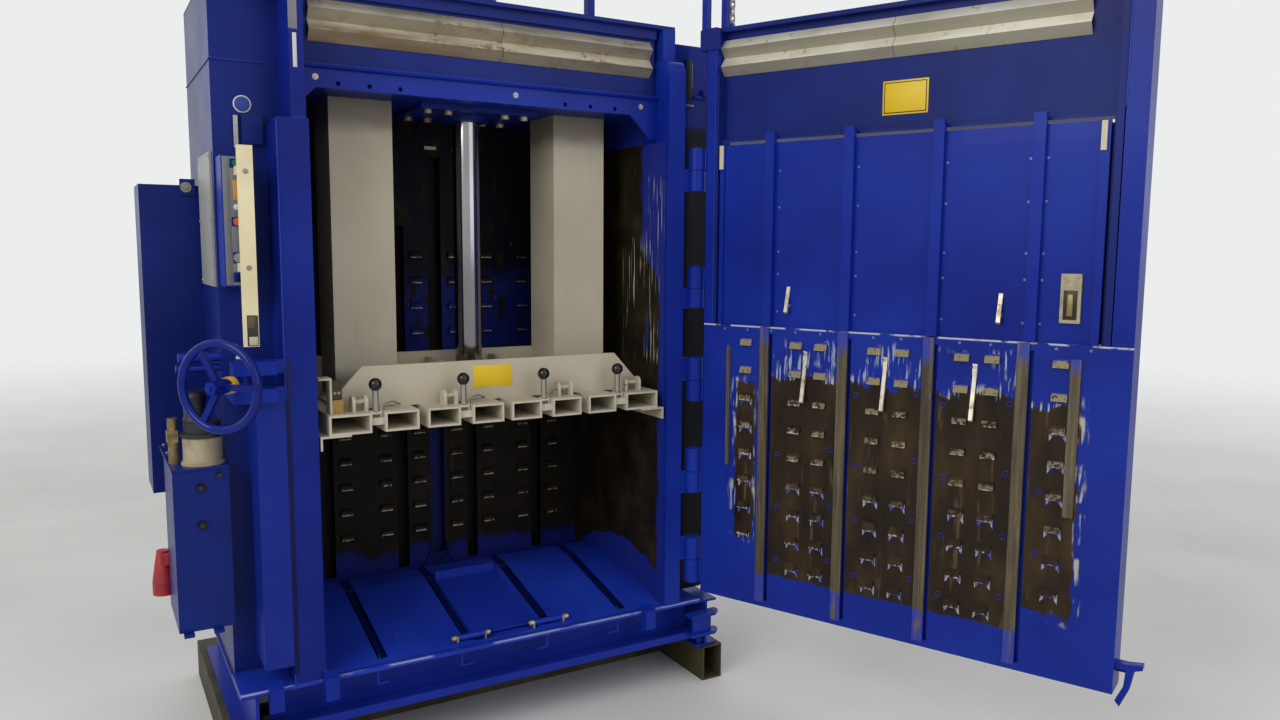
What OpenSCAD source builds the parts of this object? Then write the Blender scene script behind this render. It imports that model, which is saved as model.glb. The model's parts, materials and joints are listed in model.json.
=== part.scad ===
/* [Chamber] */
// Clear width of the pressing chamber
chamber_w = 1200; // [1190:2:1240]
// Depth of the chamber from the closing plane to the back wall
chamber_d = 725; // [715:5:780]
// Height of the floor plate at the front edge
floor_z = 322; // [310:1:340]
// Height of the arch above the loading opening
arch_z = 2082; // [2075:1:2100]
// Spacing of the four strap channels
strap_pitch = 281; // [276:1:284]
// Spacing of the strap grooves in the floor
groove_pitch = 288; // [284:1:290]
// Vertical spacing of the claws
claw_step = 96.3; // [90:0.1:100]
/* [Platen] */
// Height of the underside of the platen at rest
platen_z = 1061; // [1040:1:1080]
// Height of the front to back tubes of the platen
tube_h = 61; // [55:1:65]
// Wall of the platen tubes
tube_t = 7; // [5:0.5:9]
// Width of a strap gap between platen tubes
strap_gap = 40; // [36:1:44]
// Width of the closed gap between two strap gaps
mid_gap = 28; // [22:1:32]
// Height of the front plate above the underside of the tubes
plate_up = 192; // [180:1:200]
// Side of the two square columns
col_w = 200; // [190:2:206]
// Radius of the piston rod
rod_r = 47; // [42:0.5:50]
// Outer radius of the cylinder
cyl_r = 109; // [105:1:115]
// Depth of the cylinder's centre line behind the closing plane
ram_y = 362; // [355:1:370]
/* [Door] */
// Opening of the door at rest from closed, in degrees
door_open = 113.33; // [100:0.01:120]
// Lower edge of the door
door_z = 366; // [360:1:375]
// Line between the lower door and the loading flap
split_z = 1358; // [1350:1:1365]
// Thickness of the door
door_t = 110; // [100:1:120]
// Length from the hinge to the free edge of the door
door_l = 1424; // [1418:1:1426]
// Radius of the hinge barrels
barrel_r = 30; // [28:1:32]
// Radius of the hinge pins
pin_r = 14; // [12:0.5:16]
/* [Handwheel] */
// Radius of the centre line of the handwheel's rim
wheel_r = 119; // [110:1:125]
// Radius of the rim's bar
rim_r = 12; // [10:0.5:13]
/* [Fits] */
// Play between a turning pin and its bore
run_fit = 0.05; // [0.03:0.01:0.08]
// Play between two pieces that slide on each other
slide_gap = 2; // [1:0.5:3]

/* [Hidden] */
hw = chamber_w / 2;
front_y = 2;
hinge_x = hw + 120;
wall_t = 8;
post_d = 176;
post_in = hw + 5;
side_x = hw + 234;
unit_x = side_x + 151;
cab_x = side_x + 174;
back_y = chamber_d + 46;
base_y = chamber_d + 175;
skid_y = chamber_d + 275;
top_z = arch_z + 308;
col_top = top_z - 5;
cross_z = arch_z + 3;
cross_t = 24;
col_x = 387;
sleeve_z = arch_z - 102;
strap_x = [for (i = [0:3]) (i - 1.5) * strap_pitch];
groove_x = [for (i = [0:3]) 17 + (i - 1.5) * groove_pitch];
slope = 0.21;
ramp_y = 470;
blue = [0.13, 0.18, 0.52];
deep = [0.09, 0.12, 0.38];
grey = [0.66, 0.64, 0.58];
steel = [0.75, 0.74, 0.70];
dark = [0.12, 0.12, 0.11];
cream = [0.93, 0.89, 0.76];
yellow = [0.94, 0.76, 0.05];
rust = [0.30, 0.22, 0.14];
black = [0.05, 0.05, 0.05];
tube_top = platen_z + tube_h;
plate_top = platen_z + plate_up;
plate_x = hw - 75;
plate_y = 100;
in_w = (strap_pitch - strap_gap - mid_gap) / 2;
end_in = 32;
face_y = -10;
flap_y = -27;
recess_y = -60;
door_s = barrel_r + 3;
left_s = 68;
stile_s = door_l - 57;
low_l = 128;
low_r = stile_s - 13;
flap_l = 88;
flap_r = stile_s - 35;
flap_top = split_z + 621;
head_z = top_z - 10;
head_low = split_z + 632;
rail_z = head_z - 161;
guide_top = head_z + 275;
pin_z = floor_z + 20.5;
function ftop(y) = floor_z + 2 + (y - 20) * (ramp_y * slope - 2) / (ramp_y - 20);

module fr() translate([0, -ram_y, 0]) children();
module dr() fr() translate([hinge_x, 0, 0]) rotate([0, 0, door_open]) mirror([1, 0, 0]) children();
module bx(x0, x1, y0, y1, z0, z1) translate([x0, y0, z0]) cube([x1 - x0, y1 - y0, z1 - z0]);
module xcyl(x0, x1, y, z, r) translate([x0, y, z]) rotate([0, 90, 0]) cylinder(r = r, h = x1 - x0, $fn = 48);
module ycyl(y0, y1, x, z, r) translate([x, y1, z]) rotate([90, 0, 0]) cylinder(r = r, h = y1 - y0, $fn = 48);
module zcyl(z0, z1, x, y, r) translate([x, y, z0]) cylinder(r = r, h = z1 - z0, $fn = 48);
module along_x(x0, x1, pts) translate([x0, 0, 0]) rotate([90, 0, 90])
  linear_extrude(x1 - x0) polygon(pts);
module along_y(y0, y1, pts) translate([0, y1, 0]) rotate([90, 0, 0])
  linear_extrude(y1 - y0) polygon(pts);
module frame_box(x0, x1, y0, y1, z0, z1, t) difference() {
  bx(x0, x1, y0, y1, z0, z1);
  bx(x0 + t, x1 - t, y0 - 1, y1 + 1, z0 + t, z1 - t);
}
module tube_z(x0, x1, y0, y1, z0, z1, t) difference() {
  bx(x0, x1, y0, y1, z0, z1);
  bx(x0 + t, x1 - t, y0 + t, y1 - t, z0 - 1, z1 + 1);
}
module claw(x, z, y, dir, h) along_x(x - 21.5, x + 21.5,
  [[y, z + 13], [y + dir * h * 0.8, z + 2], [y + dir * h, z - 13], [y + dir * (h - 4), z - 13], [y, z - 2]]);
module w_rail(x0, x1, z, yv, dir, t) along_x(x0, x1, concat(
  [for (i = [0:4]) [yv + dir * (i % 2) * 25, z + i * 30.5]],
  [for (i = [4:-1:0]) [yv + dir * (i % 2) * 25 - dir * t, z + i * 30.5]]));

// Base and structure
module skid_frame() color(dark) fr() {
  for (s = [-1, 1]) mirror([s < 0 ? 1 : 0, 0, 0])
    difference() {
      bx(hw + 177, hw + 261, 0, skid_y, 0, 132);
      bx(hw + 183, hw + 255, -1, skid_y + 1, 6, 126);
    }
  for (y = [ram_y - 50, skid_y - 140]) difference() {
    bx(-hw - 177, hw + 177, y, y + 100, 0, 100);
    bx(-hw - 170, hw + 170, y + 6, y + 94, 6, 101);
  }
}

module base_frame() color(deep) fr() {
  for (s = [-1, 1]) {
    bx(s < 0 ? -hw - 241 : hw + 152, s < 0 ? -hw - 152 : hw + 241, 12, base_y, 132, 140);
    bx(s < 0 ? -hw - 241 : hw + 152, s < 0 ? -hw - 152 : hw + 241, 12, base_y, floor_z - 20, floor_z - 12);
    bx(s * (hw + 196) - 5, s * (hw + 196) + 5, 12, base_y, 140, floor_z - 20);
    bx(s < 0 ? -hw - 152 : hw - 40, s < 0 ? -hw + 40 : hw + 152, 98, base_y, floor_z - 20, floor_z - 12);
  }
  bx(-hw - 241, hw + 160, front_y, 90, 178, 190);
  bx(-hw - 152, hw + 152, 90, 98, 178, floor_z - 12);
  bx(-hw - 241, hw + 160, front_y, front_y + 6, 190, 204);
  difference() {
    bx(-hw - 152, hw + 152, base_y - 140, base_y - 40, 178, floor_z - 12);
    bx(-hw - 153, hw + 153, base_y - 132, base_y - 48, 177, floor_z - 20);
  }
  for (i = [0:3]) {
    x = [-445, -171, 133, 410][i];
    bx(x, x + 6, 8, 14, floor_z - 59, floor_z - 12);
    bx(i < 2 ? x + 6 : x - 34, i < 2 ? x + 40 : x, 8, 14, floor_z - 59, floor_z - 54);
  }
  zcyl(140, 182, hw + 176, 30, 9);
  zcyl(150, 160, hw + 176, 30, 14);
}

module floor_plate() color(blue) fr() {
  difference() {
    union() {
      bx(-hw - 241, hw + 160, front_y, 60, floor_z - 12, floor_z);
      bx(-hw - 241, -hw - 90, 60, post_d, floor_z - 12, floor_z);
      bx(post_in, hw + 160, 60, post_d, floor_z - 12, floor_z);
      along_x(-hw, hw, [[60, floor_z - 12], [30, floor_z - 6], [20, floor_z + 2],
        [ramp_y, ftop(ramp_y)], [ramp_y + 90, ftop(ramp_y) + 4],
        [chamber_d, floor_z + 40], [chamber_d, floor_z + 18], [ramp_y + 85, ftop(ramp_y) - 20],
        [ramp_y, ftop(ramp_y) - 26], [90, floor_z - 12]]);
    }
    for (x = groove_x) along_x(x - 15, x + 15, [[46, 500], [46, ftop(46) - 1], [64, ftop(64) - 14],
      [ramp_y - 8, ftop(ramp_y - 8) - 14], [ramp_y - 8, 500]]);
    along_x(groove_x[1] + 15, groove_x[2] - 44, [[36, floor_z + 1], [58, floor_z + 1],
      [460, floor_z + 400 * slope - 6], [460, 500], [36, 500]]);
  }
  for (x = groove_x) along_x(x - 8, x - 3, [[64, ftop(64) - 15], [70, ftop(70) - 2],
    [ramp_y - 8, ftop(ramp_y - 8) - 2], [ramp_y - 8, ftop(ramp_y - 8) - 15]]);
}

module left_post() color(blue) fr() {
  difference() {
    bx(-hw - 88, -hw, front_y, post_d, floor_z, sleeve_z);
    bx(-hw - 82, -hw - 6, front_y + 6, post_d - 6, floor_z - 1, sleeve_z - 6);
  }
  tube_z(-hw - 48, -hw - 8, front_y, post_d, sleeve_z, top_z - 12, 5);
}

module right_post() color(blue) fr() {
  difference() {
    bx(post_in, post_in + 65, front_y, post_d, floor_z, top_z - 122);
    bx(post_in + 6, post_in + 59, front_y + 6, post_d - 6, floor_z - 1, top_z - 172);
    translate([post_in - 1, front_y, top_z - 122]) rotate([0, 90, 0]) difference() {
      translate([-1, -1, 0]) cube([41, 41, 70]);
      translate([40, 40, -1]) cylinder(r = 40, h = 72, $fn = 48);
    }
  }
  tube_z(post_in + 8, post_in + 57, 60, post_d, top_z - 122, top_z - 12, 5);
  bx(post_in + 65, hw + 242, 126, 134, floor_z, top_z - 40);
}

module side_walls() color(rust) fr() {
  bx(-hw - wall_t, -hw, post_d, chamber_d, floor_z - 12, top_z - 12);
  bx(hw, hw + wall_t, post_d, chamber_d, floor_z - 12, top_z - 12);
  bx(hw, post_in, 20, post_d, floor_z, arch_z - 90);
}

module back_wall() color(rust) fr() {
  difference() {
    bx(-hw - wall_t, hw + wall_t, chamber_d, chamber_d + 10, floor_z - 12, top_z - 12);
    for (x = strap_x) bx(x - 22, x + 22, chamber_d - 1, chamber_d + 11, floor_z + 60, 1700);
    bx(-27, 27, chamber_d - 1, chamber_d + 11, floor_z + 100, 1960);
  }
  bx(-hw - wall_t, hw + wall_t, back_y - 6, back_y, floor_z - 12, top_z - 12);
  for (x = concat(strap_x, [0]), d = [-31, 27])
    bx(x + d, x + d + 4, chamber_d + 10, back_y - 6, floor_z - 12, top_z - 12);
  for (s = [-1, 1]) mirror([s < 0 ? 1 : 0, 0, 0]) along_y(chamber_d - 10, chamber_d,
    [[28, floor_z + 140], [34, floor_z + 140], [42, floor_z + 90], [72, floor_z + 46], [62, floor_z + 46],
    [36, floor_z + 88]]);
}

module back_claws() color(rust) fr()
  for (x = strap_x, d = [-66, 66], k = [0:11]) claw(x + d, 535 + k * claw_step, chamber_d, -1, 17);

module header_arch() color(blue) fr() {
  difference() {
    along_y(88, 98, [[-post_in - 2, sleeve_z + 5], [-hw + 9, sleeve_z + 5], [-hw + 9, arch_z - 31],
      [-hw + 41, arch_z], [hw - 99, arch_z], [hw - 21, arch_z - 81], [post_in - 1, arch_z - 81],
      [post_in - 1, arch_z + 68], [-post_in - 2, arch_z + 68]]);
    for (i = [0:2]) {
      ycyl(80, 110, -495 + i * 93, arch_z + 15, 7);
      ycyl(80, 110, 248 + i * 95, arch_z + 15, 7);
    }
  }
  bx(-hw + 45, hw - 103, 98, 130, arch_z, arch_z + 3);
  along_x(-post_in + 6, post_in - 6, [[88, arch_z + 54], [74, arch_z + 57], [70, arch_z + 63],
    [74, arch_z + 69], [88, arch_z + 68]]);
}

module header_box() color(deep) fr() {
  bx(-post_in + 6, hw, 98, 106, arch_z + 69, top_z - 12);
  bx(-post_in + 6, hw, 84, 98, top_z - 45, top_z - 12);
  difference() {
    bx(-side_x, hw + 62, front_y + 60, back_y, top_z - 12, top_z);
    for (s = [-1, 1]) bx(s * col_x - 110, s * col_x + 110, ram_y - 110, ram_y + 110, top_z - 13, top_z + 1);
    zcyl(top_z - 13, top_z + 1, 0, ram_y, cyl_r + 0.5);
  }
  bx(379, 407, 180, 208, top_z, top_z + 330);
}

module frame_rails() color(steel) fr() {
  w_rail(-hw + 22, 22, top_z - 177, 95, -1, 3);
  w_rail(24, hw - 22, top_z - 177, 95, -1, 3);
}

module crosshead() color(deep) fr() difference() {
  union() {
    bx(-hw, hw, 106, chamber_d, cross_z, cross_z + cross_t);
    for (s = [-1, 1]) bx(s * 210 - 8, s * 210 + 8, 106, chamber_d, cross_z + cross_t, top_z - 12);
  }
  for (s = [-1, 1]) bx(s * col_x - col_w / 2 - slide_gap, s * col_x + col_w / 2 + slide_gap,
    ram_y - col_w / 2 - slide_gap, ram_y + col_w / 2 + slide_gap, cross_z - 1, cross_z + cross_t + 1);
  zcyl(cross_z - 1, cross_z + cross_t + 1, 0, ram_y, cyl_r - 20);
}

module ram_cylinder() color(deep) fr() difference() {
  zcyl(cross_z + cross_t, top_z + 900, 0, ram_y, cyl_r);
  zcyl(cross_z + cross_t - 1, top_z + 870, 0, ram_y, cyl_r - 29);
}

module cylinder_gland() color(deep) fr() difference() {
  union() {
    bx(-205, 205, ram_y - 150, ram_y + 150, cross_z - 18, cross_z);
    zcyl(cross_z - 36, cross_z - 17, 0, ram_y, 73);
  }
  zcyl(cross_z - 40, cross_z + 1, 0, ram_y, rod_r + run_fit);
}

module flange_bolts() color(steel) fr()
  for (x = [-170, -100, 100, 170], y = [-110, 110]) zcyl(cross_z - 30, cross_z - 18, x, ram_y + y, 14);

module service_column() color(blue) fr() {
  tube_z(-side_x, -hw - 88, post_d, back_y, floor_z - 12, top_z - 12, 6);
  bx(-hw - 88, -hw - 48, post_d, 182, sleeve_z, top_z - 12);
  bx(-side_x - 3, -hw - 88, post_d - 3, back_y + 1, arch_z + 66, arch_z + 70);
  bx(-hw - 156, -hw - 99, 160, post_d, sleeve_z - 65, sleeve_z + 23);
  bx(-hw - 178, -hw - 163, 168, post_d, sleeve_z - 77, sleeve_z + 16);
}

module side_panel() color(grey) fr() bx(-side_x - 6, -side_x, 215, 505, 1500, 1893);

module control_box() color(blue) fr() difference() {
  bx(5 - side_x, 68 - side_x, 60, post_d, 1505, 1872);
  bx(8 - side_x, 65 - side_x, 74, post_d + 1, 1508, 1869);
  for (b = [[1850, 9], [1687, 11], [1530, 9]]) ycyl(59, 70, 43 - side_x, b[0], b[1] + 0.4);
}

module button_start() color([0.1, 0.5, 0.2]) fr() ycyl(48, 63, 43 - side_x, 1850, 9);
module button_stop() color([0.9, 0.4, 0.1]) fr() ycyl(44, 63, 43 - side_x, 1687, 11);
module button_reset() color(black) fr() ycyl(50, 63, 43 - side_x, 1530, 9);
module selector_knob() color(grey) fr() {
  ycyl(46, 59.7, 42 - side_x, 1586, 13);
  bx(39 - side_x, 45 - side_x, 38, 46, 1576, 1596);
}

module interlock_bar() color(cream) fr() {
  difference() {
    bx(36 - side_x, 77 - side_x, -20, -8, 1340, 1894);
    bx(46 - side_x, 67 - side_x, -21, -14, 1392, 1428);
  }
  for (z = [1560, 1828]) bx(38 - side_x, 66 - side_x, -8, 60, z - 12, z + 12);
}

module cover_plate() color([0.15, 0.25, 0.70]) fr() {
  bx(-hw - 170, -hw - 88, front_y, 14, floor_z + 60, 1182);
  bx(-hw - 170, -hw - 160, 14, post_d, floor_z + 60, 1182);
}

lug_y = -30;
arm_x = -hw - 205;
arm_y = -12;
lug_z = 1240;
module lock_lugs() color(blue) fr() {
  for (s = [-1, 1]) {
    bx(-hw - 232, -hw - 116, -40, 30, lug_z + (s < 0 ? -58 : 20), lug_z + (s < 0 ? -20 : 58));
    bx(-hw - 116, -hw - 88, front_y, 30, lug_z + (s < 0 ? -58 : 20), lug_z + (s < 0 ? -20 : 58));
  }
  zcyl(lug_z - 20, lug_z + 20, arm_x, arm_y, 10);
  zcyl(lug_z + 58, lug_z + 68, arm_x, arm_y, 16);
  bx(-hw - 232, -hw - 160, 30, post_d, lug_z - 58, lug_z - 30);
}

module at_arm() fr() translate([arm_x, arm_y, lug_z]) rotate([0, 0, 225]) children();
module lock_arm() color(blue) at_arm() difference() {
  union() {
    translate([0, 0, -19]) cylinder(r = 22, h = 38, $fn = 48);
    translate([10, 0, 0]) rotate([0, 90, 0]) cylinder(r = 17, h = 50, $fn = 48);
    translate([60, 0, 0]) rotate([0, 90, 0]) cylinder(r = 12, h = 62, $fn = 48);
    translate([122, 0, 0]) rotate([0, 90, 0]) cylinder(r = 16, h = 8, $fn = 48);
  }
  translate([0, 0, -20]) cylinder(r = 10 + run_fit, h = 40, $fn = 48);
}

module handwheel() color(blue) at_arm() translate([95, 0, 0]) rotate([0, 90, 0]) difference() {
  union() {
    rotate_extrude($fn = 64) translate([wheel_r, 0, 0]) circle(r = rim_r, $fn = 24);
    translate([0, 0, -26]) cylinder(r = 20, h = 52, $fn = 48);
    for (a = [90, 210, 330]) rotate([0, 0, a]) translate([15, -9, -5]) cube([wheel_r - 15, 18, 10]);
  }
  translate([0, 0, -27]) cylinder(r = 12 + run_fit, h = 54, $fn = 48);
}

module side_cabinet() color(blue) fr() {
  difference() {
    bx(-cab_x, -side_x, 560, back_y, 820, 1812);
    bx(-cab_x + 4, -side_x - 4, 564, back_y - 4, 819, 1808);
  }
  bx(-side_x - 56, -side_x - 11, 554, 560, 1780, 1832);
}

module power_unit() color(blue) fr() {
  difference() {
    bx(-unit_x, -side_x, 110, 390, 500, 978);
    bx(-unit_x + 5, -side_x - 5, 115, 385, 499, 973);
  }
  bx(-unit_x - 3, -side_x, 104, 530, 978, 985);
  for (x = [-unit_x + 25, -unit_x + 105]) bx(x - 14, x + 14, 90, 113, 490, 500);
  for (x = [-unit_x + 25, -unit_x + 105]) bx(x - 14, x + 14, 387, 560, 490, 500);
}

module pump_motor() color(grey) fr() {
  zcyl(985, 992, -side_x - 61, 175, 60);
  zcyl(992, 1066, -side_x - 61, 175, 54);
  zcyl(1066, 1078, -side_x - 61, 175, 60);
  zcyl(1078, 1110, -side_x - 61, 175, 50);
}

module pipe_fittings() color([0.7, 0.55, 0.2]) fr() {
  zcyl(985, 1120, -unit_x + 14, 200, 14);
  bx(-unit_x - 3, -unit_x + 27, 185, 215, 1050, 1085);
  ycyl(100, 110, -side_x - 78, 925, 12);
  ycyl(100, 110, -side_x - 78, 815, 12);
  ycyl(98, 110, -side_x - 28, 958, 8);
  xcyl(-side_x - 115, -side_x, 190, 1295, 14);
  xcyl(-side_x - 121, -side_x, 205, 1262, 12);
}

module power_inlet() color([0.7, 0.13, 0.17]) fr() {
  translate([-unit_x - 13, 430, 525]) rotate_extrude($fn = 64)
    polygon([[0, 30], [30, 30], [30, 0], [34, 0], [34, 40], [24, 105], [18, 140], [0, 140]]);
  bx(-unit_x - 23, -unit_x + 15, 390, 430, 625, 660);
}

module frame_knuckles() color(blue) fr() {
  for (z = [[1823, 1895], [1413, 1481], [1153, 1233], [740, 817], [490, 570]]) {
    zcyl(z[0], z[1], hinge_x, 0, barrel_r);
    bx(post_in + 65, hinge_x, front_y + 3, barrel_r, z[0], z[1]);
  }
  for (z = [[1895, 1976], [1481, 1563], [1074, 1153], [817, 905], [400, 490]])
    zcyl(z[0], z[1], hinge_x, 0, pin_r);
}

module sill_lugs() color(blue) fr() {
  for (x = [-hw - 146, -hw + 12, hw - 72]) along_x(x - 20, x + 20,
    [[front_y, floor_z - 72], [-30, floor_z - 60], [-30, floor_z + 8], [front_y, floor_z + 23]]);
  for (z = [196, 268]) translate([0, 0, z]) linear_extrude(12)
    polygon([[hw + 96, front_y], [hw + 96, -44], [hw + 200, -44], [hw + 226, -22], [hw + 226, front_y]]);
  bx(hw + 110, hw + 190, -30, -22, 208, 268);
}

module floor_hinge_pins() color(steel) fr() {
  for (p = [[-188, -54, -174, -66], [88, 236, 103, 221]]) {
    xcyl(p[0], p[1], 50, pin_z, 5);
    xcyl(p[0] + 3, p[2], 50, pin_z, 9);
    xcyl(p[3], p[1] - 3, 50, pin_z, 9);
  }
  for (x = [-171, 213]) along_x(x, x + 6, [[44, ftop(44)], [56, ftop(56)],
    [56, pin_z + 6], [44, pin_z + 6]]);
  for (x = [-73, 103]) bx(x, x + 5, 44, 56, floor_z + 1, pin_z + 6);
}

module ejector_plate() color(blue) fr() {
  x0 = groove_x[1] + 17;
  x1 = groove_x[2] - 46;
  difference() {
    union() {
      along_x(x0, x1, [[48, floor_z + 20], [80, floor_z + 21], [455, floor_z + 400 * slope + 8],
        [455, floor_z + 400 * slope + 2], [80, floor_z + 14], [48, floor_z + 13]]);
      xcyl(-163, -75, 50, pin_z, 10);
      xcyl(110, 210, 50, pin_z, 10);
      bx(x0, x1, 440, 455, floor_z + 84, floor_z + 120);
    }
    xcyl(-164, -74, 50, pin_z, 5 + run_fit);
    xcyl(109, 211, 50, pin_z, 5 + run_fit);
    bx(-74.9, 109.9, 36, 62, floor_z, floor_z + 50);
  }
}

// Platen
module ram_rod() color([0.8, 0.8, 0.82]) fr() zcyl(tube_top + 12, 2380, 0, ram_y, rod_r);

module platen_columns() color(grey) fr() for (s = [-1, 1])
  tube_z(s * col_x - col_w / 2, s * col_x + col_w / 2, ram_y - col_w / 2, ram_y + col_w / 2,
    tube_top + 12, col_top, 8);

module tube_y(x0, x1) frame_box(x0, x1, 5, chamber_d - 21, platen_z, tube_top, tube_t);
module platen_tubes() color(grey) fr() for (s = [-1, 1]) mirror([s < 0 ? 1 : 0, 0, 0]) {
  tube_y(strap_x[3] + strap_gap / 2, hw - end_in);
  for (i = [2, 3]) tube_y(strap_x[i] - strap_gap / 2 - in_w, strap_x[i] - strap_gap / 2);
  tube_y(strap_x[2] + strap_gap / 2, strap_x[2] + strap_gap / 2 + in_w);
}

module platen_plates() color(grey) fr() {
  along_y(plate_y, plate_y + 12, [[-plate_x, tube_top], [-plate_x, plate_top - 87],
    [-plate_x + 80, plate_top], [plate_x - 80, plate_top], [plate_x, plate_top - 87], [plate_x, tube_top]]);
  bx(-plate_x, plate_x, plate_y + 12, chamber_d - 85, tube_top, tube_top + 12);
  bx(-plate_x, plate_x, ram_y + col_w / 2, ram_y + col_w / 2 + 12, tube_top + 12, plate_top);
  for (x = [-120, 120]) bx(x - 6, x + 6, plate_y + 12, ram_y + col_w / 2, tube_top + 12, plate_top - 20);
  bx(-114, 114, ram_y - 60, ram_y - 48, tube_top + 12, plate_top - 40);
  bx(-hw + 41, -hw + 47, 25, 75, tube_top, tube_top + 110);
  bx(-hw + 9, -hw + 41, 25, 75, tube_top + 104, tube_top + 110);
  bx(-hw + 47, -hw + 77, 30, 52, tube_top + 45, tube_top + 101);
  bx(-hw + 47, -hw + 80, 28, 60, tube_top, tube_top + 43);
}

module platen_skids() color(grey) fr() for (s = [-1, 1]) mirror([s < 0 ? 1 : 0, 0, 0]) {
  bx(hw - 97, hw - 6, 5, chamber_d - 25, platen_z - 6, platen_z);
  bx(hw - 12, hw - 6, 5, chamber_d - 25, platen_z - 42, platen_z - 6);
}

lug_x = [[-489, -451], [-202, -165], [199, 245], [459, 513]];
module lever_brackets() color(cream) fr() {
  for (x = strap_x) {
    bx(x - strap_gap / 2, x + strap_gap / 2, 12, 90, tube_top - 39, tube_top - 18);
    for (d = [-17, 12]) bx(x + d, x + d + 5, 26, 46, tube_top - 18, tube_top + 2);
    xcyl(x - 12, x + 12, 36, tube_top - 7, 4);
  }
  for (p = lug_x) {
    for (x = p) {
      bx(x, x + 10, 45, 85, tube_top, tube_top + 28);
      xcyl(x, x + 10, 65, tube_top + 28, 20);
    }
    xcyl(p[0] + 5, p[1] + 5, 65, tube_top + 28, 7);
  }
}

module lever(i) color(black) fr() {
  x = strap_x[i];
  difference() {
    union() {
      xcyl(x - 11.7, x + 11.7, 36, tube_top - 7, 9);
      zcyl(tube_top - 4, tube_top + 70, x, 36, 10);
      translate([x, 36, tube_top + 82]) sphere(r = 20, $fn = 48);
    }
    xcyl(x - 12, x + 12, 36, tube_top - 7, 4 + run_fit);
  }
}
module lever_1() lever(0);
module lever_2() lever(1);
module lever_3() lever(2);
module lever_4() lever(3);

// Door, drawn closed along its own length s from the hinge, then swung open
module door_frame() color(blue) dr() {
  tube_z(door_s, low_l, -door_t, face_y - 5, door_z, split_z - 6, 5);
  tube_z(low_r, door_l, -door_t, face_y - 5, door_z, split_z - 6, 5);
  bx(door_s, door_l, -door_t, face_y - 5, split_z - 6, split_z);
  bx(low_l, low_r, -door_t, face_y - 5, door_z, door_z + 6);
  bx(low_l, low_r, -door_t, 6 - door_t, door_z + 6, door_z + 60);
  for (z = [620, 900, 1180]) difference() {
    bx(low_l, low_r, 10 - door_t, -34, z, z + 60);
    bx(low_l - 1, low_r + 1, 16 - door_t, -33, z + 6, z + 54);
  }
  tube_z(door_s, left_s, -door_t, face_y, split_z, head_z, 4);
  tube_z(stile_s, door_l, -door_t, face_y, split_z, head_z, 6);
}

hook_s = [434, 714, 996];
strip_s = [264, 553, 837, 1118];
module door_panel() color(rust) dr() {
  difference() {
    bx(door_s, door_l, face_y - 5, face_y, door_z, split_z);
    for (s = strip_s) bx(s + 34, s + 46, face_y - 6, face_y + 1, door_z + 24, split_z - 24);
    for (s = hook_s) bx(s - 8, s + 8, face_y - 6, face_y + 1, 1196, 1284);
  }
  for (s = strip_s) {
    bx(s + 28, s + 52, -32, -28, door_z + 20, split_z - 14);
    for (d = [28, 48]) bx(s + d, s + d + 4, -28, face_y - 5, door_z + 20, split_z - 14);
  }
}

claw_s = [211, 402, 493, 680, 772, 958, 1048, 1240];
module door_claws() color(rust) dr()
  for (i = [0:7], k = [0:8]) if (k < 8 || (i > 0 && i < 7))
    claw(claw_s[i], 1303 - k * claw_step, face_y, 1, 13);

module door_strips() color([0.5, 0.45, 0.36]) dr() {
  for (s = strip_s) bx(s, s + 34, face_y, face_y + 7, door_z + 18, split_z - 2);
  bx(132, 146, face_y, face_y + 5, 858, 1286);
  bx(1265, 1294, face_y, face_y + 7, 859, 1317);
}

module door_header() color(deep) dr() {
  bx(left_s, stile_s, recess_y - 8, recess_y, head_low, head_z);
  bx(left_s, stile_s, -door_t, recess_y - 8, head_low, head_low + 60);
  bx(left_s, stile_s, recess_y, -35, head_low, head_low + 10);
  bx(left_s, stile_s, recess_y, -32, head_z - 14, head_z);
  bx(stile_s - 22, stile_s - 4, recess_y, -14, head_low, head_z);
  bx(left_s + 2, left_s + 12, recess_y, -12, head_low, rail_z - 4);
  bx(stile_s - 31, stile_s, -42, -34, split_z, head_low);
  bx(stile_s - 22, stile_s - 4, -34, -14, split_z, head_low);
  bx(left_s, left_s + 32, -42, -34, split_z, head_low);
  bx(left_s + 2, left_s + 12, -34, -12, split_z, head_low);
  bx(6, door_s, -45, -3, head_z - 75, head_z - 6);
  bx(door_s, flap_l - 2, face_y, -3, head_z - 75, head_z - 6);
}

module door_rails() color(steel) dr() {
  w_rail(left_s + 4, 690, rail_z, recess_y + 3, 1, 3);
  w_rail(692, stile_s - 105, rail_z, recess_y + 3, 1, 3);
}

module guide_uprights() color(blue) dr() {
  bx(6, 26, -40, -12, head_z - 6, guide_top);
  bx(left_s + 4, left_s + 24, recess_y, -32, head_z, guide_top);
  bx(stile_s - 22, stile_s - 4, recess_y, -32, head_z, guide_top);
  difference() {
    bx(stile_s, door_l, -door_t, face_y, head_z, guide_top);
    bx(stile_s + 5, door_l - 5, 5 - door_t, face_y - 5, head_z - 1, guide_top - 5);
  }
}

module door_knuckles() color(blue) dr() {
  for (z = [[1897, 1970], [1483, 1557], [1078, 1151], [819, 901], [404, 488]]) difference() {
    union() {
      zcyl(z[0], z[1], 0, 0, barrel_r);
      bx(0, door_s, -barrel_r, -5, z[0], z[1]);
    }
    zcyl(z[0] - 1, z[1] + 1, 0, 0, pin_r + run_fit);
  }
}

module loading_flap() color(blue) dr() {
  bx(flap_l, flap_r, flap_y, flap_y + 5, split_z + 0.4, flap_top);
  for (s = [[flap_l, flap_l + 16], [flap_r - 23, flap_r]]) {
    bx(s[0], s[1], flap_y + 5, flap_y + 13, split_z + 0.4, flap_top);
    bx(s[0], s[0] + 15, flap_y + 13, flap_y + 19, flap_top - 82, flap_top - 2);
  }
}

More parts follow.
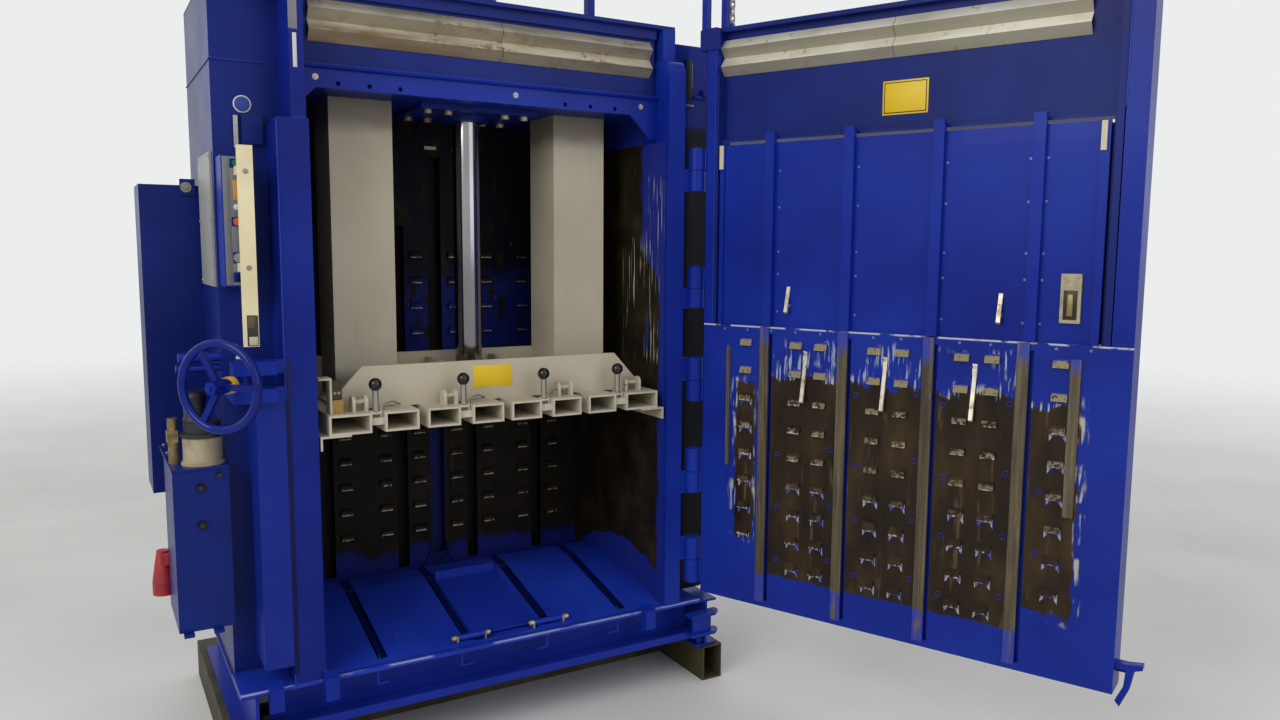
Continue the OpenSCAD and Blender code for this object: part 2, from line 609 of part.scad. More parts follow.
module flap_ribs() color(blue) dr() for (s = [270, 555, 843, 1132])
  bx(s, s + 34, flap_y + 5, -2, split_z + 2, flap_top + 32);

module flap_handles() color(steel) dr() for (s = [362, 1060]) {
  along_x(s - 6, s + 6, [[flap_y + 5, 1486], [flap_y + 5, 1497], [-18, 1497], [3, 1412], [-3, 1406]]);
  bx(s - 6, s + 6, flap_y + 5, -5, 1428, 1438);
}

module flap_lock() color(steel) dr() difference() {
  bx(1226, 1281, flap_y + 5, -10, 1418, 1558);
  bx(1238, 1267, -16, -9, 1462, 1509);
}

module door_hooks() color(steel) dr() for (s = hook_s) {
  along_x(s - 6, s + 6, [[-25, 1280], [-18, 1284], [14, 1114], [6, 1108]]);
  bx(s - 14, s + 14, -25, face_y - 5, 1268, 1278);
}

module latch_foot() color(blue) dr() {
  along_y(-58, -30, [[door_l, 438], [door_l, 452], [door_l + 71, 462], [door_l + 71, 448],
    [door_l + 50, 440], [door_l + 40, 383], [door_l + 17, 327], [door_l + 4, 342],
    [door_l + 24, 387], [door_l + 28, 438]]);
  bx(door_l, door_l + 30, -70, -58, 420, 452);
}

skid_frame();
base_frame();
floor_plate();
left_post();
right_post();
side_walls();
back_wall();
back_claws();
header_arch();
header_box();
frame_rails();
crosshead();
ram_cylinder();
cylinder_gland();
flange_bolts();
service_column();
side_panel();
control_box();
button_start();
button_stop();
button_reset();
selector_knob();
interlock_bar();
cover_plate();
lock_lugs();
lock_arm();
handwheel();
side_cabinet();
power_unit();
pump_motor();
pipe_fittings();
power_inlet();
frame_knuckles();
sill_lugs();
floor_hinge_pins();
ejector_plate();
ram_rod();
platen_columns();
platen_tubes();
platen_plates();
platen_skids();
lever_brackets();
lever_1();
lever_2();
lever_3();
lever_4();
door_frame();
door_panel();
door_claws();
door_strips();
door_header();
door_rails();
guide_uprights();
door_knuckles();
loading_flap();
flap_ribs();
flap_handles();
flap_lock();
door_hooks();
latch_foot();
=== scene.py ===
"""Recycling baler: finishes, small fittings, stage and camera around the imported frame."""

import json
import math

import bmesh
import bpy
from mathutils import Matrix, Vector


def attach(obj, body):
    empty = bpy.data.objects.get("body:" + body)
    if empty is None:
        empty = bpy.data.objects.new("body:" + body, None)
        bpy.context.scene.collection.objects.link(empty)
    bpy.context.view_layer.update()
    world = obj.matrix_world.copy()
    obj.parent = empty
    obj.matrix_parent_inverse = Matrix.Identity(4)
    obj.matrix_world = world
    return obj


bl_info = {
    "name": "Recycling Baler",
    "version": (1, 0, 0),
    "blender": (4, 5, 0),
    "location": "View3D > Sidebar > Baler",
    "description": "Dresses the baler's frame with its finishes and small fittings",
    "category": "Object",
}

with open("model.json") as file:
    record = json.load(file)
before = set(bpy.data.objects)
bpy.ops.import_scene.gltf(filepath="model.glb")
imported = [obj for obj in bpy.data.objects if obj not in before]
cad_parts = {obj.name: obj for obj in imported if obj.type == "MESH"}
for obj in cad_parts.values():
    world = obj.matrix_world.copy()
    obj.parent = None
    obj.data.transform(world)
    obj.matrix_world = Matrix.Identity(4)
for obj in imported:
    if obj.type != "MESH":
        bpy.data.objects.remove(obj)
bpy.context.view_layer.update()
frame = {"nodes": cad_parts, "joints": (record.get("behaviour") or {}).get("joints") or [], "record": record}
MM = 0.001

# The chamber's frame: mm, X from the ram's line, Y from the closing plane, Z from the floor
JOINTS = {joint["name"]: joint for joint in frame["joints"]}
HINGE = Vector(JOINTS["door_hinge"]["pos_m"])
CHAMBER = Matrix.Translation((0, HINGE.y, 0)) @ Matrix.Scale(MM, 4)

# The door's frame: mm, X along the door from its hinge, Y out of its inner face, Z up
SWING = -math.radians(JOINTS["door_hinge"]["range_deg"][0])
ALONG_DOOR = Vector((-math.cos(SWING), -math.sin(SWING), 0))
FACE_DOOR = Vector((-math.sin(SWING), math.cos(SWING), 0))
DOOR = Matrix.Translation((HINGE.x, HINGE.y, 0)) @ Matrix(
    [[a * MM, b * MM, 0, 0] for a, b in zip(ALONG_DOOR[:2], FACE_DOOR[:2])] + [[0, 0, MM, 0], [0, 0, 0, 1]])

# Places on the door, in mm
SHEET = -10  # face of the door's sheet
FLAP = -22  # face of the loading flap's sheet
FLAP_EDGE = 1332  # the flap's free edge
SPLIT = 1358  # height of the door's lower half
STRIPS = (264, 553, 837, 1118)  # near edges of the strap strips
STRIP_WIDTH = 34
CLAW_COLUMNS = (211, 402, 493, 680, 772, 958, 1048, 1240)  # columns of claws
CLAW_LOW = 532.6  # lowest row of claws
CLAW_STEP = 96.3
BAY_FOOT = 488  # the bales rub the sheet from here
BAY_TOP = 1192  # to here

# Places in the chamber and around it, in mm
BACK = 725  # the back wall's inner face
BACK_OUT = 771  # and its outer face
WALL_OUT = 604  # outer faces of the side walls
LINER_TOP = 1992  # top of the side walls' rubbed liners
TUBE_TOP = 1122  # upper side of the platen's tubes
LEVERS = (-421.5, -140.5, 140.5, 421.5)
GROOVES = (-415, -127, 161, 449)  # strap grooves in the floor
RAIL_MID = 2274  # half-way up the header's rails
FLANGE = 842  # outer edge of the hinge side's flange
SIDE_X = -834  # outer side of the service column
BOX_FACE = 60  # front of the control box
MOTOR = (SIDE_X - 61, 175, 1110)  # middle of the motor's top

# The stage's floor, in m
FLOOR_REACH = 120.0
FADE = (2.5, 14.0)  # it fades into the background between these distances

# Stretches of a mottle along X, Y and Z
EVEN = (1, 1, 1)
UP = (1, 1, 0.12)  # drawn out along Z

BLUES = ["#0b207e", "#0f288e", "#14309a"]
# Painted shade: darker tones for the service side
PAINTED_SHADE_BLUES = ["#0b1a5e", "#0e206a", "#122678"]
# Painted light: brighter tones than the walls' enamel, so that the floor inside the chamber looks lit
LIT_FLOOR_BLUES = ["#162c96", "#1c36a8", "#2440b6"]
RUSTS = ["#1b130a", "#2b2012", "#3f301b"]
SCUFF = "#b4b2a4"


def colour(code):
    """An sRGB hex value as the linear colour that a shader wants."""
    parts = [int(code[i : i + 2], 16) / 255 for i in (1, 3, 5)]
    return [c / 12.92 if c <= 0.04045 else ((c + 0.055) / 1.055) ** 2.4 for c in parts] + [1.0]


def add(tree, kind, values=None, links=None, **settings):
    """Adds one node, with its settings, its input values and the nodes or sockets linked into it."""
    made = tree.nodes.new(kind)
    for key, value in settings.items():
        setattr(made, key, value)
    for key, value in (values or {}).items():
        made.inputs[key].default_value = value
    for key, source in (links or {}).items():
        tree.links.new(getattr(source, "outputs", [source])[0], made.inputs[key])
    return made


def maths(tree, operation, *terms):
    """One maths operation run along a row of sockets and numbers."""
    total = terms[0]
    for term in terms[1:]:
        made = add(tree, "ShaderNodeMath", operation=operation)
        for i, one in enumerate((total, term)):
            if isinstance(one, (int, float)):
                made.inputs[i].default_value = one
            else:
                tree.links.new(one, made.inputs[i])
        total = made.outputs[0]
    return total


class Finish:
    """A finish while it is laid on: its nodes, the object's coordinates and the colour so far."""

    def __init__(self, name, slot=None):
        self.slot = slot
        self.material = bpy.data.materials.new(name)
        self.material.use_nodes = True
        self.tree = self.material.node_tree
        self.tree.nodes.clear()
        self.shader = add(self.tree, "ShaderNodeBsdfPrincipled")
        self.output = add(self.tree, "ShaderNodeOutputMaterial", links={"Surface": self.shader})
        self.place = add(self.tree, "ShaderNodeTexCoord").outputs["Object"]
        self.look = None

    def run(self, operation, *terms):
        """One maths operation along a row of sockets and numbers."""
        return maths(self.tree, operation, *terms)

    def both(self, *masks):
        """Where all the masks are."""
        return self.run("MULTIPLY", *masks)

    def above(self, value, low, high):
        """0 below low, 1 above high, and smooth between."""
        ramp = add(
            self.tree, "ShaderNodeMapRange", {"From Min": low, "From Max": high}, {"Value": value},
            interpolation_type="SMOOTHSTEP")
        return ramp.outputs["Result"]

    def below(self, value, low, high):
        """1 below low, 0 above high, and smooth between."""
        return self.above(self.run("MULTIPLY", value, -1), -high, -low)

    def off(self, value, middle):
        """How far a value is from a middle, either way."""
        return self.run("ABSOLUTE", self.run("SUBTRACT", value, middle), 0)

    def mottle(self, size_mm, seed=0.0, stretch=EVEN, detail=3.0):
        """Soft noise with blotches of about size_mm, drawn out along the axes with a small stretch."""
        span = add(
            self.tree, "ShaderNodeMapping",
            {"Scale": [s / (size_mm * MM) for s in stretch], "Location": (seed, seed * 0.7, seed * 1.3)},
            {"Vector": self.place})
        noise = add(
            self.tree, "ShaderNodeTexNoise", {"Scale": 1.0, "Detail": detail}, {"Vector": span})
        return noise.outputs["Fac"]

    def spots(self, low, high, size_mm, seed=0.0, stretch=EVEN, detail=3.0):
        """Where a mottle is strong: 0 below low, 1 above high."""
        return self.above(self.mottle(size_mm, seed, stretch, detail), low, high)

    def ragged(self, value, size_mm, depth_mm, seed=0.0, stretch=EVEN):
        """A place in mm that wanders by depth_mm either way, for an edge that isn't straight."""
        swing = self.run("SUBTRACT", self.mottle(size_mm, seed, stretch, 5.0), 0.5)
        return self.run("ADD", value, self.run("MULTIPLY", swing, 4 * depth_mm))

    def field(self, *bounds):
        """Distance in mm into a box, above 0 inside it, from (place, low, high) for each axis."""
        sides = []
        for value, low, high in bounds:
            sides.append(self.run("SUBTRACT", value, low))
            sides.append(self.run("SUBTRACT", high, value))
        return self.run("MINIMUM", *sides)

    def reach(self, direction, origin):
        """How far in mm a point lies along a direction from an origin in the part's frame."""
        moved = add(self.tree, "ShaderNodeVectorMath", {1: origin}, {0: self.place}, operation="SUBTRACT")
        along = add(
            self.tree, "ShaderNodeVectorMath", {1: [c / MM for c in direction]}, {0: moved},
            operation="DOT_PRODUCT")
        return along.outputs["Value"]

    def chamber_axes(self):
        """X, Y and Z in the chamber's frame, in mm."""
        return [self.reach(axis, (0, HINGE.y, 0)) for axis in ((1, 0, 0), (0, 1, 0), (0, 0, 1))]

    def door_axes(self):
        """Along, out of and up the door, in mm."""
        return [self.reach(axis, (HINGE.x, HINGE.y, 0)) for axis in (ALONG_DOOR, FACE_DOOR, (0, 0, 1))]

    def turned_down(self, low, high):
        """Where the surface faces the floor: 0 where its normal's fall is below low, 1 above high."""
        normal = add(self.tree, "ShaderNodeNewGeometry").outputs["Normal"]
        rise = add(self.tree, "ShaderNodeSeparateXYZ", links={0: normal}).outputs["Z"]
        return self.below(rise, -high, -low)

    def tones(self, value, codes):
        """A colour ramp of evenly spaced tones over the middle of a noise."""
        ramp = add(self.tree, "ShaderNodeValToRGB", links={"Fac": value})
        while len(ramp.color_ramp.elements) < len(codes):
            ramp.color_ramp.elements.new(0.5)
        for i, (stop, code) in enumerate(zip(ramp.color_ramp.elements, codes)):
            stop.position = 0.3 + 0.4 * i / max(1, len(codes) - 1)
            stop.color = colour(code)
        return ramp.outputs["Color"]

    def over(self, under, top, mask):
        """A hex value or a colour socket laid over a colour where the mask is 1."""
        mix = add(self.tree, "ShaderNodeMix", links={0: mask, 6: under}, data_type="RGBA")
        if isinstance(top, str):
            mix.inputs[7].default_value = colour(top)
        else:
            self.tree.links.new(top, mix.inputs[7])
        return mix.outputs[2]

    def lay(self, top, *masks):
        """Lays a colour over the look where all the masks are."""
        self.look = self.over(self.look, top, self.both(*masks))


def finish(
        name, tones, tone_mm, layers=(), rough=(0.35, 0.5), bump=(2.0, 0.05), metallic=0.0, coat=0.0,
        stretch=EVEN, patches=None, specular=0.5, slot=None):
    """A mottled ground of tones, thin layers (hex, low, high, mm, stretch) and patches.

    The roughness wanders between two values and the bump is (grain in mm, depth in mm). The slot is
    stored on the finish but is not used.
    """
    made = Finish(name, slot)
    made.look = made.tones(made.mottle(tone_mm, stretch=stretch), tones)
    for i, (code, low, high, size, pull) in enumerate(layers):
        made.lay(code, made.spots(low, high, size, 3.1 + 1.7 * i, pull, 4.0))
    metal = patches(made) if patches else None
    worn = add(
        made.tree, "ShaderNodeMapRange", {"To Min": rough[0], "To Max": rough[1]},
        {"Value": made.mottle(tone_mm * 0.4, 9.2, detail=4.0)})
    relief = add(
        made.tree, "ShaderNodeBump", {"Strength": 0.6, "Distance": bump[1] * MM},
        {"Height": made.mottle(bump[0], 5.5, detail=2.0)})
    for key, source in (
            ("Base Color", made.look), ("Metallic", metal), ("Roughness", worn.outputs["Result"]),
            ("Normal", relief.outputs["Normal"])):
        if source is not None:
            made.tree.links.new(source, made.shader.inputs[key])
    made.shader.inputs["Metallic"].default_value = metallic
    made.shader.inputs["Coat Weight"].default_value = coat
    made.shader.inputs["Specular IOR Level"].default_value = specular
    return made


def sheltered(paint, along, up, look):
    """Enamel left below each of the lower claws, with pale rubbed ends."""
    beside = paint.run("MINIMUM", *[paint.off(along, s) for s in CLAW_COLUMNS])
    beside = paint.ragged(beside, 8, 1.5, 3.0)
    under = paint.run("MODULO", paint.run("ADD", up, CLAW_STEP * 3 + 40 - CLAW_LOW), CLAW_STEP)
    under = paint.run("ADD", under, paint.run("MULTIPLY", paint.run("POWER", beside, 2.0), 0.03))
    inner = paint.field((along, 255, 1200))
    top = paint.run("ADD", paint.run("MULTIPLY", paint.above(inner, -2, 2), -235), 1120)
    where = paint.both(
        paint.above(paint.run("SUBTRACT", top, up), 0, 40),
        paint.above(paint.field((beside, -9, 25), (under, 21, 52)), 0, 3))
    look = paint.over(look, "#2439ac", where)
    ends = paint.both(where, paint.above(beside, 13, 20), paint.spots(0.42, 0.55, 5, 1.0, UP))
    return paint.over(look, SCUFF, ends)


def rubbed_door(paint):
    """Enamel rubbed off by the bales: brown bays with ragged tops, and pale scuffs along their edges."""
    along, out, up = paint.door_axes()
    wavy_along = paint.ragged(along, 60, 9, 2.0)
    wavy_up = paint.ragged(up, 45, 26, 4.0, (1, 1, 0.5))
    wavy_foot = paint.ragged(up, 70, 5, 5.0)
    first, last = STRIPS[0], STRIPS[3]
    bays = paint.run(
        "MAXIMUM",
        paint.field((along, first + STRIP_WIDTH, last), (wavy_up, 0, BAY_TOP), (wavy_foot, BAY_FOOT, 2000)),
        paint.field((wavy_along, 172, first - 18), (wavy_up, 606, BAY_TOP - 32)),
        paint.field((wavy_along, last + STRIP_WIDTH, 1300), (wavy_up, 560, BAY_TOP - 16)))
    brown = paint.tones(paint.mottle(90, 1.0, (1, 1, 0.4), 5.0), RUSTS)
    brown = paint.over(brown, "#6b5232", paint.spots(0.60, 0.78, 26, 8.0, UP, 4.0))
    paint.lay(sheltered(paint, along, up, brown), paint.above(bays, -2, 3))
    streaks = paint.mottle(9, 6.0, (1, 1, 0.10))
    rim = paint.both(paint.above(bays, -30, -6), paint.below(bays, 0, 7))
    edges = paint.run(
        "MAXIMUM", paint.above(up, 1080, 1120), paint.above(along, 1230, 1260),
        paint.below(along, 250, 256))
    patchy = paint.spots(0.40, 0.52, 70, 9.0, detail=2.0)
    paint.lay(SCUFF, paint.both(rim, edges, patchy, paint.above(streaks, 0.50, 0.62)))
    scratched = paint.field((wavy_up, BAY_TOP - 16, 1330), (wavy_along, 300, 1150))
    paint.lay(
        "#9aa3bb", paint.above(scratched, 0, 30), paint.spots(0.47, 0.60, 110, 7.0, detail=2.0),
        paint.above(streaks, 0.53, 0.60))
    paint.lay(
        "#b9bcd0", paint.above(up, SPLIT - 7, SPLIT - 3), paint.spots(0.42, 0.5, 60, 5.0, detail=4.0))
    paint.lay(BLUES[1], paint.below(out, SHEET - 4, SHEET - 2))


def rubbed_strips(paint):
    """Strips of bare steel, still blue at their ends."""
    up = paint.ragged(paint.door_axes()[2], 40, 22, 3.0, (1, 1, 0.4))
    ends = paint.run("MAXIMUM", paint.above(up, 1262, 1330), paint.below(up, 482, 492))
    paint.lay("#25349a", ends, paint.spots(0.34, 0.5, 18, 5.0, UP))
    return paint.run("MULTIPLY", paint.run("SUBTRACT", 1.0, ends), 0.55)


def rubbed_claws(paint):
    """Claws whose lips are rubbed bright, with enamel left in their shelter."""
    along, out, up = paint.door_axes()
    wander = paint.ragged(out, 12, 1.2, 2.0)
    upper = paint.above(up, 1188, 1194)
    paint.lay("#22309a", upper, paint.below(wander, -6, -2))
    paint.lay("#222f8f", paint.turned_down(0.2, 0.4))
    paint.lay(
        "#83785f", paint.above(wander, SHEET + 5, SHEET + 10), paint.spots(0.4, 0.6, 14, 1.0, detail=4.0),
        paint.above(paint.ragged(up, 90, 50, 7.0), 700, 1000))
    lip = paint.both(paint.above(wander, SHEET + 11.9, SHEET + 12.6), paint.spots(0.42, 0.50, 9, 4.0))
    paint.lay("#b3ac9a", lip)
    paint.lay(
        "#918666", upper, paint.above(wander, SHEET + 2, SHEET + 6),
        paint.spots(0.30, 0.46, 10, 2.0, detail=4.0))
    return paint.run("MULTIPLY", lip, 0.5)


def rubbed_and_shaded_back(paint):
    """A back wall of dark rubbed plate, still blue above the bales and near the floor, darker towards the
    top, with painted shade in its channel.
    """
    across, deep, up = paint.chamber_axes()
    wavy_up = paint.ragged(up, 120, 40, 2.0, (1, 1, 0.6))
    high = paint.above(wavy_up, 1130, 1230)
    paint.lay("#14226f", high)
    paint.lay("#080c1a", paint.above(wavy_up, 1470, 1560))
    paint.lay("#23190f", high, paint.spots(0.58, 0.66, 60, 6.0, (1, 1, 0.5), 4.0))
    paint.lay("#16227a", paint.below(wavy_up, 420, 480))
    paint.lay(
        "#8f95ad", paint.spots(0.70, 0.74, 5, 1.0, UP), paint.above(paint.field((up, 1180, 1700)), 0, 60),
        paint.spots(0.48, 0.6, 150, 8.0, detail=2.0))
    # Painted shade: near-black inside the channel behind the inner face
    paint.lay("#07080d", paint.above(deep, BACK + 8, BACK + 11))
    middle = paint.below(paint.run("ABSOLUTE", across, 0), 27, 32)
    paint.lay("#131d58", middle, paint.below(up, 1100, 1140))
    paint.lay(BLUES[1], paint.above(deep, BACK_OUT - 1, BACK_OUT))


def rubbed_back_claws(paint):
    """Back claws with a thin bright lip, blue above the bales."""
    across, deep, up = paint.chamber_axes()
    wander = paint.ragged(deep, 10, 0.5, 2.0)
    lip = paint.both(paint.below(wander, BACK - 16.4, BACK - 15.6), paint.spots(0.36, 0.50, 11, 4.0))
    paint.lay("#17256f", paint.above(up, 1180, 1250), paint.below(up, 1450, 1520))
    paint.lay("#a39d8d", lip)
    return paint.run("MULTIPLY", lip, 0.5)


def rubbed_side(paint):
    """Side walls rubbed to rust behind the posts, scraped in long lines, and blue above and below."""
    across, deep, up = paint.chamber_axes()
    wavy_deep = paint.ragged(deep, 60, 16, 2.0, (1, 1, 0.4))
    wavy_deep = paint.ragged(wavy_deep, 8, 16, 4.0, (1, 1, 0.03))
    wavy_up = paint.ragged(up, 80, 14, 3.0)
    lean = paint.run("MULTIPLY", paint.above(wavy_up, 1480, 1640), -120)
    front = paint.below(paint.run("ADD", wavy_deep, lean), 44, 62)
    liner = paint.run("MAXIMUM", front, paint.above(up, LINER_TOP - 1, LINER_TOP + 1))
    bow = paint.run("MULTIPLY", paint.run("POWER", paint.off(deep, 330), 2.0), 0.0009)
    foot = paint.above(paint.run("SUBTRACT", 508, paint.run("ADD", wavy_up, bow)), 0, 8)
    paint.lay("#1c2a86", paint.run("MAXIMUM", liner, foot))
    paint.lay(
        "#b4ad98", paint.above(paint.field((deep, 10, 330), (up, 1200, 1960)), 0, 40),
        paint.spots(0.44, 0.58, 110, 8.0, (1, 1, 0.6)), paint.spots(0.58, 0.64, 7, 5.0, (1, 1, 0.03)))
    paint.lay(
        "#182a84", paint.above(paint.field((deep, 30, 170), (up, 1230, 1900)), 0, 50),
        paint.spots(0.55, 0.61, 34, 2.0, UP, 4.0))
    paint.lay(BLUES[1], paint.above(paint.run("ABSOLUTE", across, 0), WALL_OUT - 2, WALL_OUT))


def shaded_facets(paint, code):
    """Darkens the facets that face the floor with painted shade."""
    paint.lay(code, paint.run("MULTIPLY", paint.turned_down(0.15, 0.45), 0.75))


def rail_stains_and_shade(paint):
    """Brown water stains in the rails' valleys, painted shade on the facets that face the floor, and a
    browner band below the rails' middle on the left.
    """
    shaded_facets(paint, "#8e8269")
    stains = paint.spots(0.50, 0.66, 70, 4.0, (0.5, 1, 1.6), 5.0)
    paint.lay("#94805f", stains, paint.spots(0.4, 0.6, 14, 7.0))
    paint.lay("#4a3826", paint.spots(0.70, 0.76, 5, 2.5, detail=2.0))
    across, deep, up = paint.chamber_axes()
    paint.lay(
        "#8a7257", paint.below(up, RAIL_MID - 26, RAIL_MID), paint.below(across, -420, 160),
        paint.spots(0.28, 0.5, 120, 6.0, (0.4, 1, 1)))


def door_rail_stains_and_shade(paint):
    """The door's rails are cleaner than the frame's: thin drips only, and painted shade on the facets that
    face the floor.
    """
    shaded_facets(paint, "#8b846e")
    paint.lay("#a39a82", paint.spots(0.62, 0.74, 24, 4.0, UP, 4.0))


def ball_and_shaft(paint):
    """A black ball on a bright shaft."""
    shaft = paint.below(paint.chamber_axes()[2], TUBE_TOP + 63, TUBE_TOP + 65)
    paint.lay("#a8a69c", shaft)
    return paint.run("MULTIPLY", shaft, 0.8)


def latch_colours(paint):
    """The latch unit at the platen's end: a dark steel plate above a dull brass block."""
    across, deep, up = paint.chamber_axes()
    zone = (across, -554, -520), (deep, 26, 62), (up, TUBE_TOP + 44, TUBE_TOP + 103)
    paint.lay("#3a2c1c", paint.above(paint.field(*zone), 0, 0.5))
    zone = (across, -554, -519), (deep, 26, 62), (up, TUBE_TOP + 0.5, TUBE_TOP + 44)
    block = paint.above(paint.field(*zone), 0, 0.5)
    paint.lay("#a08048", block)
    return paint.run("MULTIPLY", block, 0.6)


def pipe_colours(paint):
    """Blue pipes above, black plugs on the unit's front, brass between."""
    across, deep, up = paint.chamber_axes()
    paint.lay(BLUES[2], paint.above(up, 1200, 1202))
    paint.lay("#1a1a1c", paint.below(deep, 111, 112), paint.below(up, 969, 970))


def motor_colours(paint):
    """A dark lid on the motor's pale body."""
    lid = MOTOR[2] - 46
    paint.lay("#1b1a1a", paint.above(paint.chamber_axes()[2], lid, lid + 1))


def post_shade(paint):
    """Painted shade: the hinge flange behind the knuckles is laid near-black."""
    across, deep, up = paint.chamber_axes()
    # Painted shade on the flange behind the knuckles
    paint.lay(
        "#060918", paint.above(across, 671, 673), paint.above(deep, 100, 104), paint.below(up, 2040, 2080))


def column_top_shade_and_feet(paint):
    """Painted shade darkens the columns' upper ends, and their feet are a little darker."""
    up = paint.ragged(paint.chamber_axes()[2], 90, 12, 1.0)
    # Painted shade on the upper ends
    paint.lay("#857c6e", paint.above(up, 1960, 2030))
    paint.lay("#8d8678", paint.below(up, 1190, 1240))


def tube_edges(paint):
    """The tubes' front edges are rubbed paler than their sides."""
    front = paint.below(paint.ragged(paint.chamber_axes()[1], 20, 2, 2.0), 1, 8)
    paint.lay("#c3beb0", front)
    paint.lay("#6d6455", front, paint.spots(0.66, 0.72, 7, 6.0))


def flap_colours(paint):
    """Cream sliding pads at the flap's upper corners."""
    paint.lay("#cfc6a8", paint.above(paint.door_axes()[1], -13.6, -13.2))


def floor_wear_and_groove_shade(paint):
    """The floor is rubbed pale by what is dragged over its front edge, and its grooves are darkened with
    painted shade.
    """
    across, deep, up = paint.chamber_axes()
    paint.lay(
        "#8f97c4", paint.above(paint.field((deep, -4, 10), (up, 316, 326)), 0, 3),
        paint.spots(0.46, 0.54, 50, 5.0, (0.3, 1, 1), 4.0))
    paint.lay(
        "#4c5aa8", paint.spots(0.66, 0.7, 8, 6.0, (1, 0.06, 1)),
        paint.spots(0.5, 0.62, 160, 9.0, detail=2.0))
    # Painted shade in the strap grooves
    beside = paint.run("MINIMUM", *[paint.off(across, x) for x in GROOVES])
    paint.lay("#0c1552", paint.below(beside, 15.5, 17.5), paint.above(deep, 45, 47))


def blue(name, tones=BLUES, gloss=(0.28, 0.42), coat=0.03, patches=None):
    """Alkyd enamel brushed and sprayed on plate: glossy, a little uneven, with a few chips."""
    layers = [
        ("#0c1650", 0.62, 0.86, 260, UP), ("#2c3a8c", 0.74, 0.88, 60, EVEN),
        ("#0b1032", 0.76, 0.80, 14, EVEN)]
    return finish(
        name, tones, 420, layers, gloss, (3.0, 0.08), coat=coat, patches=patches, specular=0.14,
        slot="blue_paint")


def rust(name, tones=("#1c140c", "#2c2015", "#45331f"), patches=None):
    """Hot-rolled plate with its enamel rubbed off: brown, dark in its pits, dull."""
    layers = [("#6f5a3e", 0.66, 0.82, 40, UP), ("#17120d", 0.60, 0.74, 60, EVEN)]
    return finish(name, tones, 120, layers, (0.5, 0.72), (1.5, 0.2), 0.1, patches=patches, specular=0.18)


def grey(name, patches=None):
    """Stone-grey enamel, sprayed flat, with faint smears and a few knocks."""
    layers = [
        ("#877e6c", 0.62, 0.84, 120, UP), ("#5c5244", 0.76, 0.82, 16, EVEN),
        ("#b5b0a2", 0.78, 0.83, 9, EVEN)]
    return finish(
        name, ["#afa691", "#bbb29d", "#c4bca7"], 380, layers, (0.42, 0.56), (2.0, 0.06), patches=patches,
        specular=0.35)


def moulded(name, *tones):
    """Moulded ABS in one colour: smooth and satin, like the caps of push buttons."""
    return finish(name, tones, 30, (), (0.3, 0.4), (1.0, 0.01))


def sheet(name, slot, code, rough=(0.4, 0.52), metallic=0.0, darker="#6b6656"):
    """Printed or moulded sheet in one colour, a little scuffed and dusty."""
    return finish(
        name, [code, code], 60, [(darker, 0.74, 0.84, 12, EVEN)], rough, (1.5, 0.02), metallic, slot=slot)


